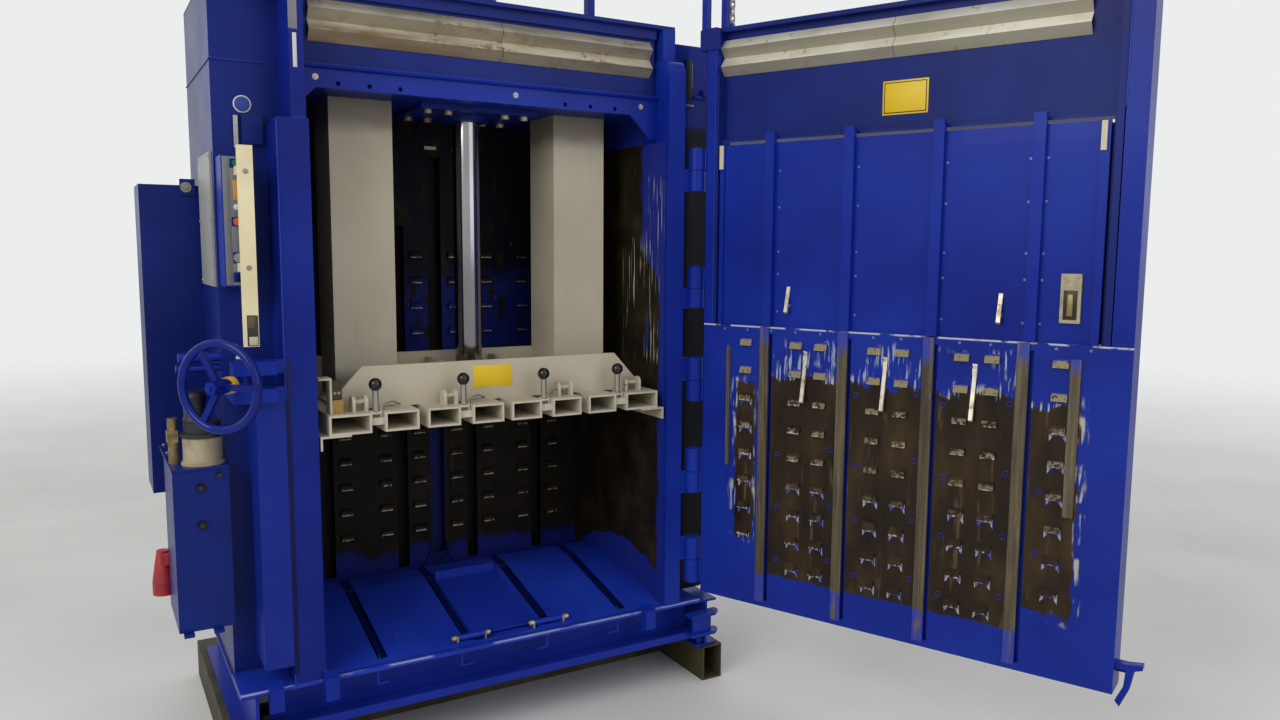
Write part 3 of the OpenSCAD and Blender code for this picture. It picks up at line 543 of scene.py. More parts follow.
def frame_finishes():
    """One finish for each of the record's material slots."""
    return {
        "blue_paint": blue("blue_enamel"),
        "deep_blue_paint": blue("deep_blue_enamel", ["#101c60", "#14246e", "#192b7c"], (0.32, 0.48), 0.0),
        "bright_blue_paint": blue("even_blue_enamel", ["#10237c", "#162b8a"], (0.3, 0.42)),
        "platen_paint": grey("stone_grey_enamel"),
        "rusty_steel": rust("rubbed_rusty_plate"),
        "green_plastic": moulded("green_abs", "#0f6b30", "#16803b"),
        "orange_plastic": moulded("orange_abs", "#c9601a", "#dd7422"),
        # Galvanised sheet, brushed by rubbing, with brown water stains and painted shade on its downward
        # facets
        "rail_steel": finish(
            "galvanised_sheet", ["#a59e8a", "#cbc4b1", "#dfdac9"], 60, [("#75644c", 0.64, 0.78, 34, UP)],
            (0.3, 0.5), (1.5, 0.05), 0.6, stretch=(0.3, 1, 1), patches=rail_stains_and_shade),
        # Mild steel flats that the bales keep bare: lengthwise lines, half dull
        "strip_steel": finish(
            "bare_rubbed_steel", ["#4b4232", "#5f5541", "#736851"], 9,
            [("#3a3226", 0.56, 0.76, 120, UP), ("#8f8672", 0.66, 0.76, 5, (1, 1, 0.04))],
            (0.42, 0.6), (1.5, 0.06), 0.3, stretch=(1, 1, 0.04), patches=rubbed_strips),
        # Dull black paint on tube that stands on a wet floor
        "skid_paint": finish(
            "dull_black_paint", ["#33301f", "#423c2a", "#504833"], 150, [("#5d5444", 0.66, 0.80, 60, EVEN)],
            (0.5, 0.7), (2.0, 0.08), specular=0.2),
        # Ground and chromed bar: a mirror with faint lengthwise lines
        "rod_chrome": finish(
            "chromed_bar", ["#8f8c8e", "#a3a0a2"], 300, [("#6f6a6c", 0.66, 0.80, 25, (1, 1, 0.05))],
            (0.08, 0.16), (1.0, 0.004), 1.0),
        # Moulded cream plastic and cream enamel, yellowed and fingered
        "cream_plastic": finish(
            "cream_enamel", ["#cdc097", "#ddd0a8", "#e8dcb5"], 140,
            [("#a3956f", 0.70, 0.84, 30, EVEN), ("#8d8264", 0.76, 0.82, 8, EVEN)],
            (0.4, 0.52), (1.0, 0.02)),
        # Light grey enamel, sprayed on sheet: satin and a little smeared
        "grey_panel": finish(
            "light_grey_enamel", ["#8b8c88", "#999a95"], 200, [("#74757a", 0.64, 0.82, 80, UP)],
            (0.38, 0.5), (2.0, 0.04)),
        # Phenolic balls and knobs, moulded and glossy
        "black_plastic": finish(
            "black_phenolic", ["#0b0b0c", "#131314"], 60, [("#2c2a28", 0.72, 0.84, 14, EVEN)],
            (0.18, 0.3), (1.0, 0.01)),
        # Turned brass, browned by oil and dust
        "brass_fittings": finish(
            "dull_brass", ["#6f6040", "#857552", "#9c8c66"], 18, [("#3d3322", 0.60, 0.78, 10, EVEN)],
            (0.3, 0.5), (1.0, 0.02), 0.7, patches=pipe_colours),
        # Cast aluminium in warm grey paint: grainy, with dirt that has run down
        "motor_grey": finish(
            "warm_grey_casting", ["#91856a", "#a6987c", "#b5a78b"], 60, [("#4d4738", 0.64, 0.78, 26, UP)],
            (0.48, 0.62), (1.6, 0.1), patches=motor_colours),
        # Glass-filled polyamide, matt and a little chalked
        "red_plastic": finish(
            "red_polyamide", ["#8c1a24", "#a31f28", "#b5343a"], 60, [("#5c1219", 0.66, 0.8, 30, EVEN)],
            (0.42, 0.55), (1.0, 0.02)),
    }


def special_finishes():
    """Finishes of nodes whose wear or colours lie in known places."""
    ball = finish(
        "ball_lever", ["#0b0b0c", "#121213"], 40, (), (0.16, 0.3), (1.0, 0.01), patches=ball_and_shaft)
    made = {"lever_%d" % (i + 1): ball for i in range(len(LEVERS))}
    # The wheel and its arm are handled, so that their enamel stays clean and glossy
    for node in ("handwheel", "lock_arm"):
        made[node] = blue(node + "_enamel", ["#09186a", "#0c1e7a"], (0.16, 0.26), 0.16)
    # Painted shade: the service side stands in its own shade, so its enamel takes darker tones
    for node in ("power_unit", "side_cabinet", "service_column"):
        made[node] = blue(node + "_enamel", PAINTED_SHADE_BLUES)
    made.update({
        "door_panel": blue("rubbed_door_sheet", BLUES, (0.34, 0.5), 0.1, rubbed_door),
        "door_claws": rust("rubbed_door_claws", patches=rubbed_claws),
        "back_wall": rust("rubbed_and_shaded_back_wall", ("#0d0a08", "#16110c", "#241b12"), rubbed_and_shaded_back),
        "back_claws": rust("rubbed_back_claws", ("#15110c", "#211a12", "#30261a"), rubbed_back_claws),
        "side_walls": rust("rubbed_side_walls", ("#15110b", "#221b11", "#33291a"), rubbed_side),
        # Galvanised sheet that is cleaner and brighter than the frame's, with painted shade on its downward
        # facets
        "door_rails": finish(
            "clean_galvanised_sheet", ["#cfcab6", "#e6e2d2", "#f0ede2"], 70,
            [("#8a7f69", 0.68, 0.80, 20, UP)], (0.22, 0.42), (1.5, 0.05), 0.35,
            stretch=(0.3, 0.3, 1), patches=door_rail_stains_and_shade),
        "platen_plates": grey("stone_grey_with_latch", latch_colours),
        "platen_columns": grey("stone_grey_columns", column_top_shade_and_feet),
        "platen_tubes": grey("stone_grey_tubes", tube_edges),
        "loading_flap": blue("flap_enamel", patches=flap_colours),
        # Painted light: the floor and the ejector plate take the brighter floor tones
        "floor_plate": blue("floor_enamel", LIT_FLOOR_BLUES, (0.3, 0.46), 0.05, floor_wear_and_groove_shade),
        "ejector_plate": blue("ejector_enamel", LIT_FLOOR_BLUES[:2], (0.3, 0.46), 0.05),
        # Painted shade: the left post's enamel takes darker tones than the other blue parts
        "left_post": blue("left_post_shaded_enamel", ["#08186a", "#0b1e78", "#0f2684"]),
        "right_post": blue("post_enamel", patches=post_shade),
        "base_frame": blue("beam_enamel", ["#12288c", "#182f98"]),
        # Yellow-chromated zinc, dulled by hands
        "flap_lock": finish(
            "yellowed_zinc", ["#8f8569", "#a2977a", "#b0a689"], 30, [("#5b523d", 0.70, 0.80, 9, EVEN)],
            (0.35, 0.5), (1.4, 0.03), 0.35),
        # Painted grey iron, rough from its mould
        "lever_brackets": finish(
            "light_grey_casting", ["#b5ae9a", "#c4bda9"], 20, [("#6f6858", 0.66, 0.78, 12, EVEN)],
            (0.4, 0.55), (1.4, 0.06)),
    })
    return made


def new_tree(name, **sizes):
    """A geometry tree with a mesh, named inputs and a finish going in, and a mesh coming out."""
    tree = bpy.data.node_groups.new(name, "GeometryNodeTree")
    given = {"Mesh": "Geometry", **sizes, "Finish": "Material"}
    for label, kind in given.items():
        tree.interface.new_socket(label, in_out="INPUT", socket_type="NodeSocket" + kind)
    tree.interface.new_socket("Mesh", in_out="OUTPUT", socket_type="NodeSocketGeometry")
    return tree, add(tree, "NodeGroupInput").outputs


def close_tree(tree, given, shape):
    """Ends a tree with real geometry in the given finish."""
    real = add(tree, "GeometryNodeRealizeInstances", links={0: shape})
    done = add(tree, "GeometryNodeSetMaterial", links={"Geometry": real, "Material": given["Finish"]})
    add(tree, "NodeGroupOutput", links={0: done})
    return tree


def on_points(tree, points, shape, angles):
    """Copies of a shape on points, turned by angles about X, Y and Z."""
    turn = add(tree, "FunctionNodeEulerToRotation", links={0: angles})
    links = {"Points": points, "Instance": shape, "Rotation": turn}
    return add(tree, "GeometryNodeInstanceOnPoints", links=links)


def screw_tree():
    """Hexagonal heads with sloping sides on round washers, standing along Z before they are turned."""
    tree, given = new_tree("screw_heads", Radius="Float", Height="Float", Turn="Vector")
    wide = maths(tree, "MULTIPLY", given["Radius"], 1.5)
    thin = maths(tree, "MULTIPLY", given["Height"], 0.3)
    top = maths(tree, "MULTIPLY", given["Radius"], 0.8)
    one = add(tree, "GeometryNodeJoinGeometry")
    washer, head = (20, wide, wide, thin), (6, top, given["Radius"], given["Height"])
    for sides, upper, lower, depth in (washer, head):
        part = add(
            tree, "GeometryNodeMeshCone", {"Vertices": sides},
            {"Radius Top": upper, "Radius Bottom": lower, "Depth": depth})
        tree.links.new(part.outputs[0], one.inputs[0])
    return close_tree(tree, given, on_points(tree, given["Mesh"], one, given["Turn"]))


def weld_dot_tree():
    """Plug welds: a low ring of bead round a sunk middle."""
    tree, given = new_tree("plug_welds", Radius="Float", Bead="Float", Turn="Vector")
    path = add(tree, "GeometryNodeCurvePrimitiveCircle", {"Resolution": 20}, {"Radius": given["Radius"]})
    profile = add(tree, "GeometryNodeCurvePrimitiveCircle", {"Resolution": 8}, {"Radius": given["Bead"]})
    ring = add(tree, "GeometryNodeCurveToMesh", links={0: path, 1: profile})
    return close_tree(tree, given, on_points(tree, given["Mesh"], ring, given["Turn"]))


def swept_tree():
    """A round rod, wire or weld bead along the mesh's edges, with bent corners, and ripples for a bead."""
    tree, given = new_tree(
        "swept_rods", Radius="Float", Bend="Float", Step="Float", Ripple="Float", Sides="Int")
    line = add(tree, "GeometryNodeMeshToCurve", links={0: given["Mesh"]})
    links = {"Curve": line, "Radius": given["Bend"]}
    bent = add(tree, "GeometryNodeFilletCurve", {"Count": 6}, links, mode="POLY")
    links = {"Curve": bent, "Length": given["Step"]}
    even = add(tree, "GeometryNodeResampleCurve", links=links, mode="LENGTH")
    place = add(tree, "GeometryNodeInputPosition")
    waves = add(tree, "ShaderNodeTexNoise", {"Scale": 260.0, "Detail": 1.0}, {"Vector": place})
    depth = maths(tree, "MULTIPLY", maths(tree, "SUBTRACT", waves.outputs["Fac"], 0.5), given["Ripple"])
    girth = maths(tree, "ADD", depth, 1.0)
    links = {"Resolution": given["Sides"], "Radius": given["Radius"]}
    profile = add(tree, "GeometryNodeCurvePrimitiveCircle", links=links)
    links = {"Curve": even, "Profile Curve": profile, "Scale": girth}
    rod = add(tree, "GeometryNodeCurveToMesh", {"Fill Caps": True}, links)
    return close_tree(tree, given, rod)


def chain_tree():
    """A chain down the mesh's edges: oval links, each turned a quarter from the last."""
    tree, given = new_tree("chain", Pitch="Float", Width="Float", Wire="Float")
    line = add(tree, "GeometryNodeMeshToCurve", links={0: given["Mesh"]})
    links = {"Curve": line, "Length": given["Pitch"]}
    spots = add(tree, "GeometryNodeCurveToPoints", links=links, mode="LENGTH")
    tall = maths(tree, "MULTIPLY", given["Pitch"], 1.42)
    links = {"Width": given["Width"], "Height": tall}
    oval = add(tree, "GeometryNodeCurvePrimitiveQuadrilateral", links=links)
    half = maths(tree, "MULTIPLY", given["Width"], 0.48)
    links = {"Curve": oval, "Radius": half}
    rounded = add(tree, "GeometryNodeFilletCurve", {"Count": 5}, links, mode="POLY")
    profile = add(tree, "GeometryNodeCurvePrimitiveCircle", {"Resolution": 8}, {"Radius": given["Wire"]})
    link = add(tree, "GeometryNodeCurveToMesh", links={0: rounded, 1: profile})
    upright = add(tree, "GeometryNodeTransform", {"Rotation": (math.pi / 2, 0, 0)}, {"Geometry": link})
    quarter = maths(tree, "MULTIPLY", add(tree, "GeometryNodeInputIndex").outputs[0], math.pi / 2)
    spin = add(tree, "ShaderNodeCombineXYZ", links={"Z": quarter})
    return close_tree(tree, given, on_points(tree, spots, upright, spin))


def base_of(body):
    """The frame in which a body's pieces are drawn."""
    return DOOR if body in ("door", "flap") else CHAMBER


def keep_piece(name, mesh, body):
    """A plain mesh as a finished piece that rides on a body of the frame."""
    mesh.polygons.foreach_set("use_smooth", [True] * len(mesh.polygons))
    mesh.set_sharp_from_angle(angle=0.7)
    piece = bpy.data.objects.new(name, mesh)
    bpy.context.scene.collection.objects.link(piece)
    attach(piece, body)


def grown(name, tree, lines, sizes, look, body="frame"):
    """Runs a tree over polylines, or points, given in mm, and keeps the result as a plain piece."""
    points, edges = [], []
    for line in lines:
        edges += [(len(points) + i, len(points) + i + 1) for i in range(len(line) - 1)]
        points += [base_of(body) @ Vector(p) for p in line]
    bare = bpy.data.meshes.new(name + "_points")
    bare.from_pydata(points, edges, [])
    seed = bpy.data.objects.new(name + "_seed", bare)
    bpy.context.scene.collection.objects.link(seed)
    maker = seed.modifiers.new("maker", "NODES")
    maker.node_group = tree
    sockets = {i.name: i.identifier for i in tree.interface.items_tree if i.in_out == "INPUT"}
    for key, value in {**sizes, "Finish": look.material}.items():
        maker[sockets[key]] = value
    mesh = bpy.data.meshes.new_from_object(seed.evaluated_get(bpy.context.evaluated_depsgraph_get()))
    mesh.name = name
    seed.modifiers.clear()
    bpy.data.objects.remove(seed)
    keep_piece(name, mesh, body)


def built(name, shape, look, body):
    """Turns a shape drawn in mm into a finished piece."""
    shape.transform(base_of(body))
    bmesh.ops.recalc_face_normals(shape, faces=shape.faces)
    mesh = bpy.data.meshes.new(name)
    shape.to_mesh(mesh)
    shape.free()
    mesh.materials.append(look.material)
    keep_piece(name, mesh, body)


def blocks(name, corners, look, body="frame", steps=2):
    """A piece of blocks with rounded edges, each given as (low corner, high corner, rounding) in mm."""
    shape = bmesh.new()
    for low, high, edge in corners:
        verts = bmesh.ops.create_cube(shape, size=1.0)["verts"]
        for vert in verts:
            vert.co = Vector((a + (b - a) * (c + 0.5) for a, b, c in zip(low, high, vert.co)))
        edges = list({e for v in verts for e in v.link_edges})
        bmesh.ops.bevel(shape, geom=edges, offset=edge, segments=steps, profile=0.5, affect="EDGES")
    built(name, shape, look, body)


def turned(name, profile, place, axis, look, body="frame", sides=40):
    """A piece turned from (height, radius) pairs along an axis from a place, closed at both ends."""
    shape = bmesh.new()
    base = Matrix.Translation(place) @ Vector(axis).to_track_quat("Z", "Y").to_matrix().to_4x4()
    angles = [2 * math.pi * k / sides for k in range(sides)]
    rings = []
    for height, radius in profile:
        spots = [Vector((radius * math.cos(a), radius * math.sin(a), height)) for a in angles]
        rings.append([shape.verts.new(base @ spot) for spot in spots])
    for one, two in zip(rings, rings[1:]):
        for k in range(sides):
            shape.faces.new((one[k], one[(k + 1) % sides], two[(k + 1) % sides], two[k]))
    shape.faces.new(rings[0])
    shape.faces.new(rings[-1])
    built(name, shape, look, body)


def facing(direction):
    """The turn that stands a shape's Z along a direction."""
    return Vector(direction).to_track_quat("Z", "Y").to_euler()[:]


class BalerCamera(bpy.types.PropertyGroup):
    """Where the photograph was taken from."""

    place: bpy.props.FloatVectorProperty(
        name="Place", description="The lens in the row frame", subtype="XYZ", unit="LENGTH",
        default=(-1.2028, -3.2389, 1.6156))
    turn: bpy.props.FloatVectorProperty(
        name="Turn", description="The camera's rotation in degrees", default=(83.50, -0.397, -30.465))
    lens: bpy.props.FloatProperty(name="Lens", description="Focal length in mm", default=27.10)


class BalerPlates(bpy.types.PropertyGroup):
    """The blank plates' colours."""

    yellow: bpy.props.StringProperty(
        name="Yellow", description="Colour of the blank plates", default="#e0bb08")


class BalerStage(bpy.types.PropertyGroup):
    """The floor and the light."""

    floor: bpy.props.StringProperty(name="Floor", description="Colour of the floor", default="#d8d8d4")
    sky: bpy.props.StringProperty(name="Sky", description="Colour of the background", default="#eceeee")
    fill: bpy.props.FloatProperty(name="Fill", description="Strength of the even light", default=0.64)
    key: bpy.props.FloatProperty(name="Key", description="Power of the large lamp in W", default=130.0)


class BALER_OT_finishes(bpy.types.Operator):
    """Gives each piece of the frame its finish"""

    bl_idname = "baler.finishes"
    bl_label = "Finishes"

    def execute(self, context):
        finishes = frame_finishes()
        special = special_finishes()
        for row in frame["record"]["subparts"]:
            look = special.get(row["node"]) or finishes[row["material_slot"]]
            materials = frame["nodes"][row["node"]].data.materials
            materials.clear()
            materials.append(look.material)
        return {"FINISHED"}


class BALER_OT_plates(bpy.types.Operator):
    """Adds the blank plates and stickers"""

    bl_idname = "baler.plates"
    bl_label = "Blank plates"

    def execute(self, context):
        yellow = sheet("yellow_vinyl", "cream_plastic", context.scene.baler_plates.yellow)
        dark = sheet("black_vinyl", "black_plastic", "#14120f")
        white = sheet("white_vinyl", "grey_panel", "#c9c8c2")
        pale = sheet("grey_anodised_sheet", "grey_panel", "#76777b", (0.35, 0.5), 0.3)

        # The door's header carries a plate with a thin dark line near its edge
        layers = (
            ("door_plate", (656, -60, 2043), (803, -58.6, 2148), 0.6, yellow),
            ("door_plate_line", (661, -59, 2048), (798, -58.2, 2143), 0.3, dark),
            ("door_plate_field", (664, -59, 2051), (795, -57.8, 2140), 0.3, yellow),
        )
        for name, low, high, edge, look in layers:
            blocks(name, [(low, high, edge)], look, "door")

        # The platen carries a bare sticker, and the left post a grey plate above a white one
        blocks("platen_sticker", [((-83, 99.2, 1163), (53, 100.2, 1235), 0.4)], yellow, "platen")
        blocks("post_plate", [((-648, 0.8, 2222), (-624, 2.2, 2330), 0.5)], pale)
        blocks("post_label", [((-638, 0.8, 2118), (-627, 2.2, 2212), 0.5)], white)

        # The service column carries a round sticker with a rim, and a strip with a scale's ticks
        middle, ahead = (-750, 176, 2029), (0, -1, 0)
        turned("round_sticker_rim", ((-0.4, 25), (0.8, 25), (1.1, 24.4), (1.1, 21)), middle, ahead, white)
        turned(
            "round_sticker", ((0, 21.4), (1.4, 21.4), (1.6, 20.8)), middle, ahead,
            sheet("blue_vinyl", "bright_blue_paint", "#1c3a8e"))
        blocks(
            "scale_strip", [((-777, 166.8, 1903), (-765, 168.2, 1995), 0.4)],
            sheet("pale_printed_strip", "grey_panel", "#b9b7aa"))
        ticks = []
        for k in range(16):
            long = 5 if k % 5 else 8
            ticks.append(((-776.5, 166.4, 1906 + k * 5.6), (-776.5 + long, 167.2, 1907 + k * 5.6), 0.2))
        blocks("scale_ticks", ticks, dark, steps=1)

        # The control box has a grey front sheet, cut out round its buttons, with a coloured field
        front, back = BOX_FACE - 0.9, BOX_FACE + 0.2
        face = [
            ((SIDE_X + left, front, 1509), (SIDE_X + right, back, 1868), 0.5)
            for left, right in ((8, 28), (56, 65))]
        face += [
            ((SIDE_X + 27, front, foot), (SIDE_X + 57, back, top), 0.5)
            for foot, top in ((1509, 1517), (1545, 1570), (1602, 1674), (1700, 1836), (1862, 1868))]
        blocks("control_face", face, pale)
        blocks(
            "control_field", [((SIDE_X + 34, 58.2, 1748), (SIDE_X + 54, 59.4, 1803), 0.4)],
            sheet("amber_vinyl", "orange_plastic", "#c98a2a"))

        # The interlock bar has a window, a dark sheet of painted shade, with two inserts, and the back wall
        # a small plate
        blocks(
            "bar_window_shade", [((-788, -21.2, 1342), (-759, -20.2, 1427), 0.3)],
            sheet("painted_shade_gap", "black_plastic", "#2b2620"))
        blocks(
            "bar_insert", [((-786, -22.2, 1393), (-768, -20.6, 1424), 0.4)],
            sheet("brown_insert", "black_plastic", "#5d4a34"))
        blocks(
            "bar_block", [((-784, -24, 1344), (-761, -20.6, 1368), 1.0)],
            sheet("pale_block", "cream_plastic", "#b7b09a"))
        blocks("back_plate", [((-31, BACK - 1.2, 1988), (15, BACK + 0.4, 2000), 0.5)], white)
        turned(
            "control_lamp", ((0, 9), (3, 9), (5, 7.5), (6.5, 4)), (SIDE_X + 43, 59.4, 1728), ahead,
            sheet("milky_lens", "grey_panel", "#c3c6d2", (0.2, 0.3)), sides=24)
        return {"FINISHED"}


class BALER_OT_screws(bpy.types.Operator):
    """Adds the screw and rivet heads"""

    bl_idname = "baler.screws"
    bl_label = "Screws"

    def execute(self, context):
        tree = screw_tree()
        # Zinc-plated steel: bright, slightly clouded
        zinc = finish(
            "zinc_plated_steel", ["#86847c", "#a5a39a"], 6, (), (0.25, 0.4), (1.0, 0.02), 0.8,
            slot="rail_steel")
        # Rivets whose enamel is half rubbed off: pale blue, a little bright
        dots = finish(
            "worn_rivets", ["#4c5686", "#7c83a8"], 9, (), (0.3, 0.45), (1.0, 0.02), 0.3, slot="rail_steel")
        dark = sheet("black_plug", "rail_steel", "#202023", (0.2, 0.34), darker="#3a3a3c")
        front, side, up, out = (facing(way) for way in ((0, -1, 0), (-1, 0, 0), (0, 0, 1), FACE_DOOR))
        columns, levels = (319, 600, 884, 1124, 1172), (1412, 1538, 1614, 1762, 1884)
        rivets = [(s, FLAP, z) for s in columns for z in levels]
        bar = [(57, -20, 1559), (57, -20, 1823), (51, -14, 1419), (62, -14, 1419)]
        plugs = [(78, 100, 925), (78, 100, 815), (28, 98, 958)]
        rows = (
            ("bar_screws", "frame", zinc, front, 5, 3, [(SIDE_X + x, y, z) for x, y, z in bar]),
            ("latch_screws", "platen", zinc, front, 3, 2, [(x, 30, 1186) for x in (-544, -532)]),
            ("side_panel_screws", "frame", zinc, side, 5, 3,
             [(SIDE_X - 6, y, z) for y in (227, 493) for z in (1512, 1697, 1881)]),
            ("lid_bolts", "frame", zinc, up, 6, 5,
             [(SIDE_X - x, y, 985) for x in (10, 140) for y in (250, 370, 510)]),
            ("arch_bolts", "frame", zinc, front, 6, 4, [(x, 88, 2112) for x in (-560, 70, 540)]),
            ("cabinet_lock", "frame", zinc, front, 11, 7, [(SIDE_X - 38, 554, 1806)]),
            ("plug_centres", "frame", dark, front, 4.5, 2.5, [(SIDE_X - x, y, z) for x, y, z in plugs]),
            ("flap_rivets", "flap", dots, out, 2.6, 1.6, rivets),
            ("lock_screws", "flap", zinc, out, 3.2, 2, [(FLAP_EDGE - x, -10, 1546) for x in (96, 61)]),
            ("split_screws", "door", dots, out, 3, 2,
             [(s, SHEET, SPLIT - 14) for s in range(120, 1340, 92)]),
        )
        for name, body, look, turn, radius, height, places in rows:
            sizes = {"Radius": radius * MM, "Height": height * MM, "Turn": turn}
            grown(name, tree, [[p] for p in places], sizes, look, body)
        return {"FINISHED"}


class BALER_OT_welds(bpy.types.Operator):
    """Adds the door's plug welds and the beads along the main seams"""

    bl_idname = "baler.welds"
    bl_label = "Welds"

    def execute(self, context):
        enamel = blue("enamelled_weld", ["#1a2f96", "#24399e"], (0.25, 0.35))
        dots = []
        for strip, after in zip(STRIPS, STRIPS[1:] + (STRIPS[3] + 1000,)):
            dots += [(strip + 76, SHEET, z) for z in (922, 738, 551)]
            dots += [(after - 17, SHEET, z) for z in (962, 769, 580) if after < 1200]
        dots += [(s, SHEET, z) for s, z in ((620, 1153), (820, 1176), (905, 1150), (1102, 1172))]
        sizes = {"Radius": 8 * MM, "Bead": 1.4 * MM, "Turn": facing(FACE_DOOR)}
        grown("door_plug_welds", weld_dot_tree(), [[d] for d in dots], sizes, enamel, "door")

        beads = swept_tree()
        sizes = {"Radius": 2.6 * MM, "Bend": 0.0, "Step": 3 * MM, "Ripple": 0.7, "Sides": 8}
        knuckle_ends = (1895, 1823, 1481, 1413, 1233, 1153, 817, 740, 570, 490)
        seams = [[(670, 3, z), (688, 3, z)] for z in knuckle_ends]
        seams += [[(-688, 2, 1180), (-688, 2, 1974)], [(-648, 3, 1981), (-608, 3, 1981)]]
        seams += [[(SIDE_X, 174, 2152), (-688, 174, 2152)], [(-591, 88, LINER_TOP), (-591, 88, 2050)]]
        seams += [[(x, 2, 325), (x, 2, 352)] for x in (-688, -600)]
        grown("frame_seams", beads, seams, sizes, enamel)
        seams = [[(s + 36, -108.5, 372), (s + 36, -108.5, 378)] for s in STRIPS]
        seams += [[(68, SHEET, SPLIT + 2), (68, SHEET, 2360)], [(1367, SHEET, 2010), (1367, SHEET, 2370)]]
        seams += [[(33, -5, z), (33, -5, z + 72)] for z in (1898, 1484, 1079, 824, 410)]
        grown("door_seams", beads, seams, sizes, enamel, "door")
        return {"FINISHED"}


class BALER_OT_wheel(bpy.types.Operator):
    """Adds the handwheel's yellow collar and nut and the cap of the lock's pin"""

    bl_idname = "baler.wheel"
    bl_label = "Handwheel fittings"

    def execute(self, context):
        arm = Vector(JOINTS["handwheel_spin"]["pos_m"]) / MM - Vector((0, HINGE.y / MM, 0))
        spindle = JOINTS["handwheel_spin"]["axis"]
        turned(
            "wheel_collar", ((44, 17.4), (44, 23), (45.5, 24), (65, 24), (66.5, 23), (66.5, 12.6)), arm,
            spindle, sheet("yellow_plastic", "orange_plastic", "#d9a514", darker="#8a6a10"), "lock_arm")
        turned(
            "wheel_nut", ((124, 17), (126, 18.5), (134, 18.5), (136, 17), (136, 9), (141, 8), (141, 4)),
            arm, spindle, blue("enamelled_nut"), "lock_arm", 6)
        turned(
            "lug_pin_cap", ((0, 15), (3, 15), (7, 12.5), (9, 8), (9.6, 3)), (arm.x, arm.y, 1308),
            (0, 0, 1), sheet("white_cap", "grey_panel", "#c6c5bd"), sides=28)
        return {"FINISHED"}


class BALER_OT_flashings_and_shade_strips(bpy.types.Operator):
    """Adds the strips behind the gaps, some near-black as painted shade, the hinge side's bracket, the
    motor's boot and the lock's catch
    """

    bl_idname = "baler.flashings"
    bl_label = "Flashings, shade strips and catch"

    def execute(self, context):
        # Painted shade: near-black strips stand for the shade in the hinge side's gap, at the flap's edge
        # and in the seam beside the left post
        shade = blue("painted_shade_enamel", ["#0a0f38", "#0d1446"])
        blocks("hinge_gap_shade_strip", [((FLANGE, 127, 324), (FLANGE + 24, 133, 2348), 1.0)], shade)
        corners = [
            ((x + low, BACK + 9, 312), (x + high, BACK_OUT - 3, 2376), 0.8)
            for x, low, high in ((-WALL_OUT, -3, 2), (WALL_OUT, -2, 3))]
        blocks("back_corner_strips", corners, blue("corner_enamel"))
        # Painted shade at the flap's edge
        guide = [((FLAP_EDGE - 16, -50, SPLIT + 2), (FLAP_EDGE + 26, -43, 1974), 1.0)]
        blocks("flap_gap_shade_strip", guide, shade, "door")
        bracket = [
            ((x, y, foot), (FLANGE - 2, 126.4, top), 1.5)
            for x, y, foot, top in ((761, 114, 2164, 2176), (816, 110, 2170, 2196))]
        blocks("hinge_bracket", bracket, blue("enamelled_bracket"))
        blocks(
            "cable_box", [((744, 112, 2160), (768, 126.4, 2298), 3.0)],
            sheet("black_rubber_box", "black_plastic", "#0c0c0e", darker="#1c1c1e"))
        clips = [((746, 112, 2134), (779, 126.4, 2141), 1.0), ((771, 116, 2202), (774, 126.4, 2287), 0.8)]
        blocks("cable_clips", clips, sheet("worn_zinc", "rail_steel", "#8f9096", (0.3, 0.45), 0.5))
        # Painted shade in the seam beside the left post
        blocks("post_seam_shade", [((-689, 0.6, 352), (-676, 2.2, 1300), 0.5)], shade)
        x, y, z = MOTOR
        turned(
            "hose_boot", ((-1, 33), (10, 33), (14, 30), (60, 30), (64, 33), (78, 33), (86, 27), (89, 18)),
            (x - 17, y, z), (0, 0, 1),
            sheet("black_rubber_boot", "black_plastic", "#0b0b0c", darker="#1c1c1e"))
        # Painted shade: a dark sheet stands for the shade in the lock's opening
        blocks(
            "lock_opening_shade", [((FLAP_EDGE - 97, -10.6, 1428), (FLAP_EDGE - 60, -9.4, 1511), 0.4)],
            sheet("painted_shade_opening", "black_plastic", "#17140f"), "flap")
        blocks(
            "lock_catch", [((FLAP_EDGE - 86, -9.8, 1438), (FLAP_EDGE - 70, -3, 1500), 1.6)],
            sheet("brass_catch", "brass_fittings", "#8d7b4c", (0.3, 0.45), 0.6), "flap")
        return {"FINISHED"}


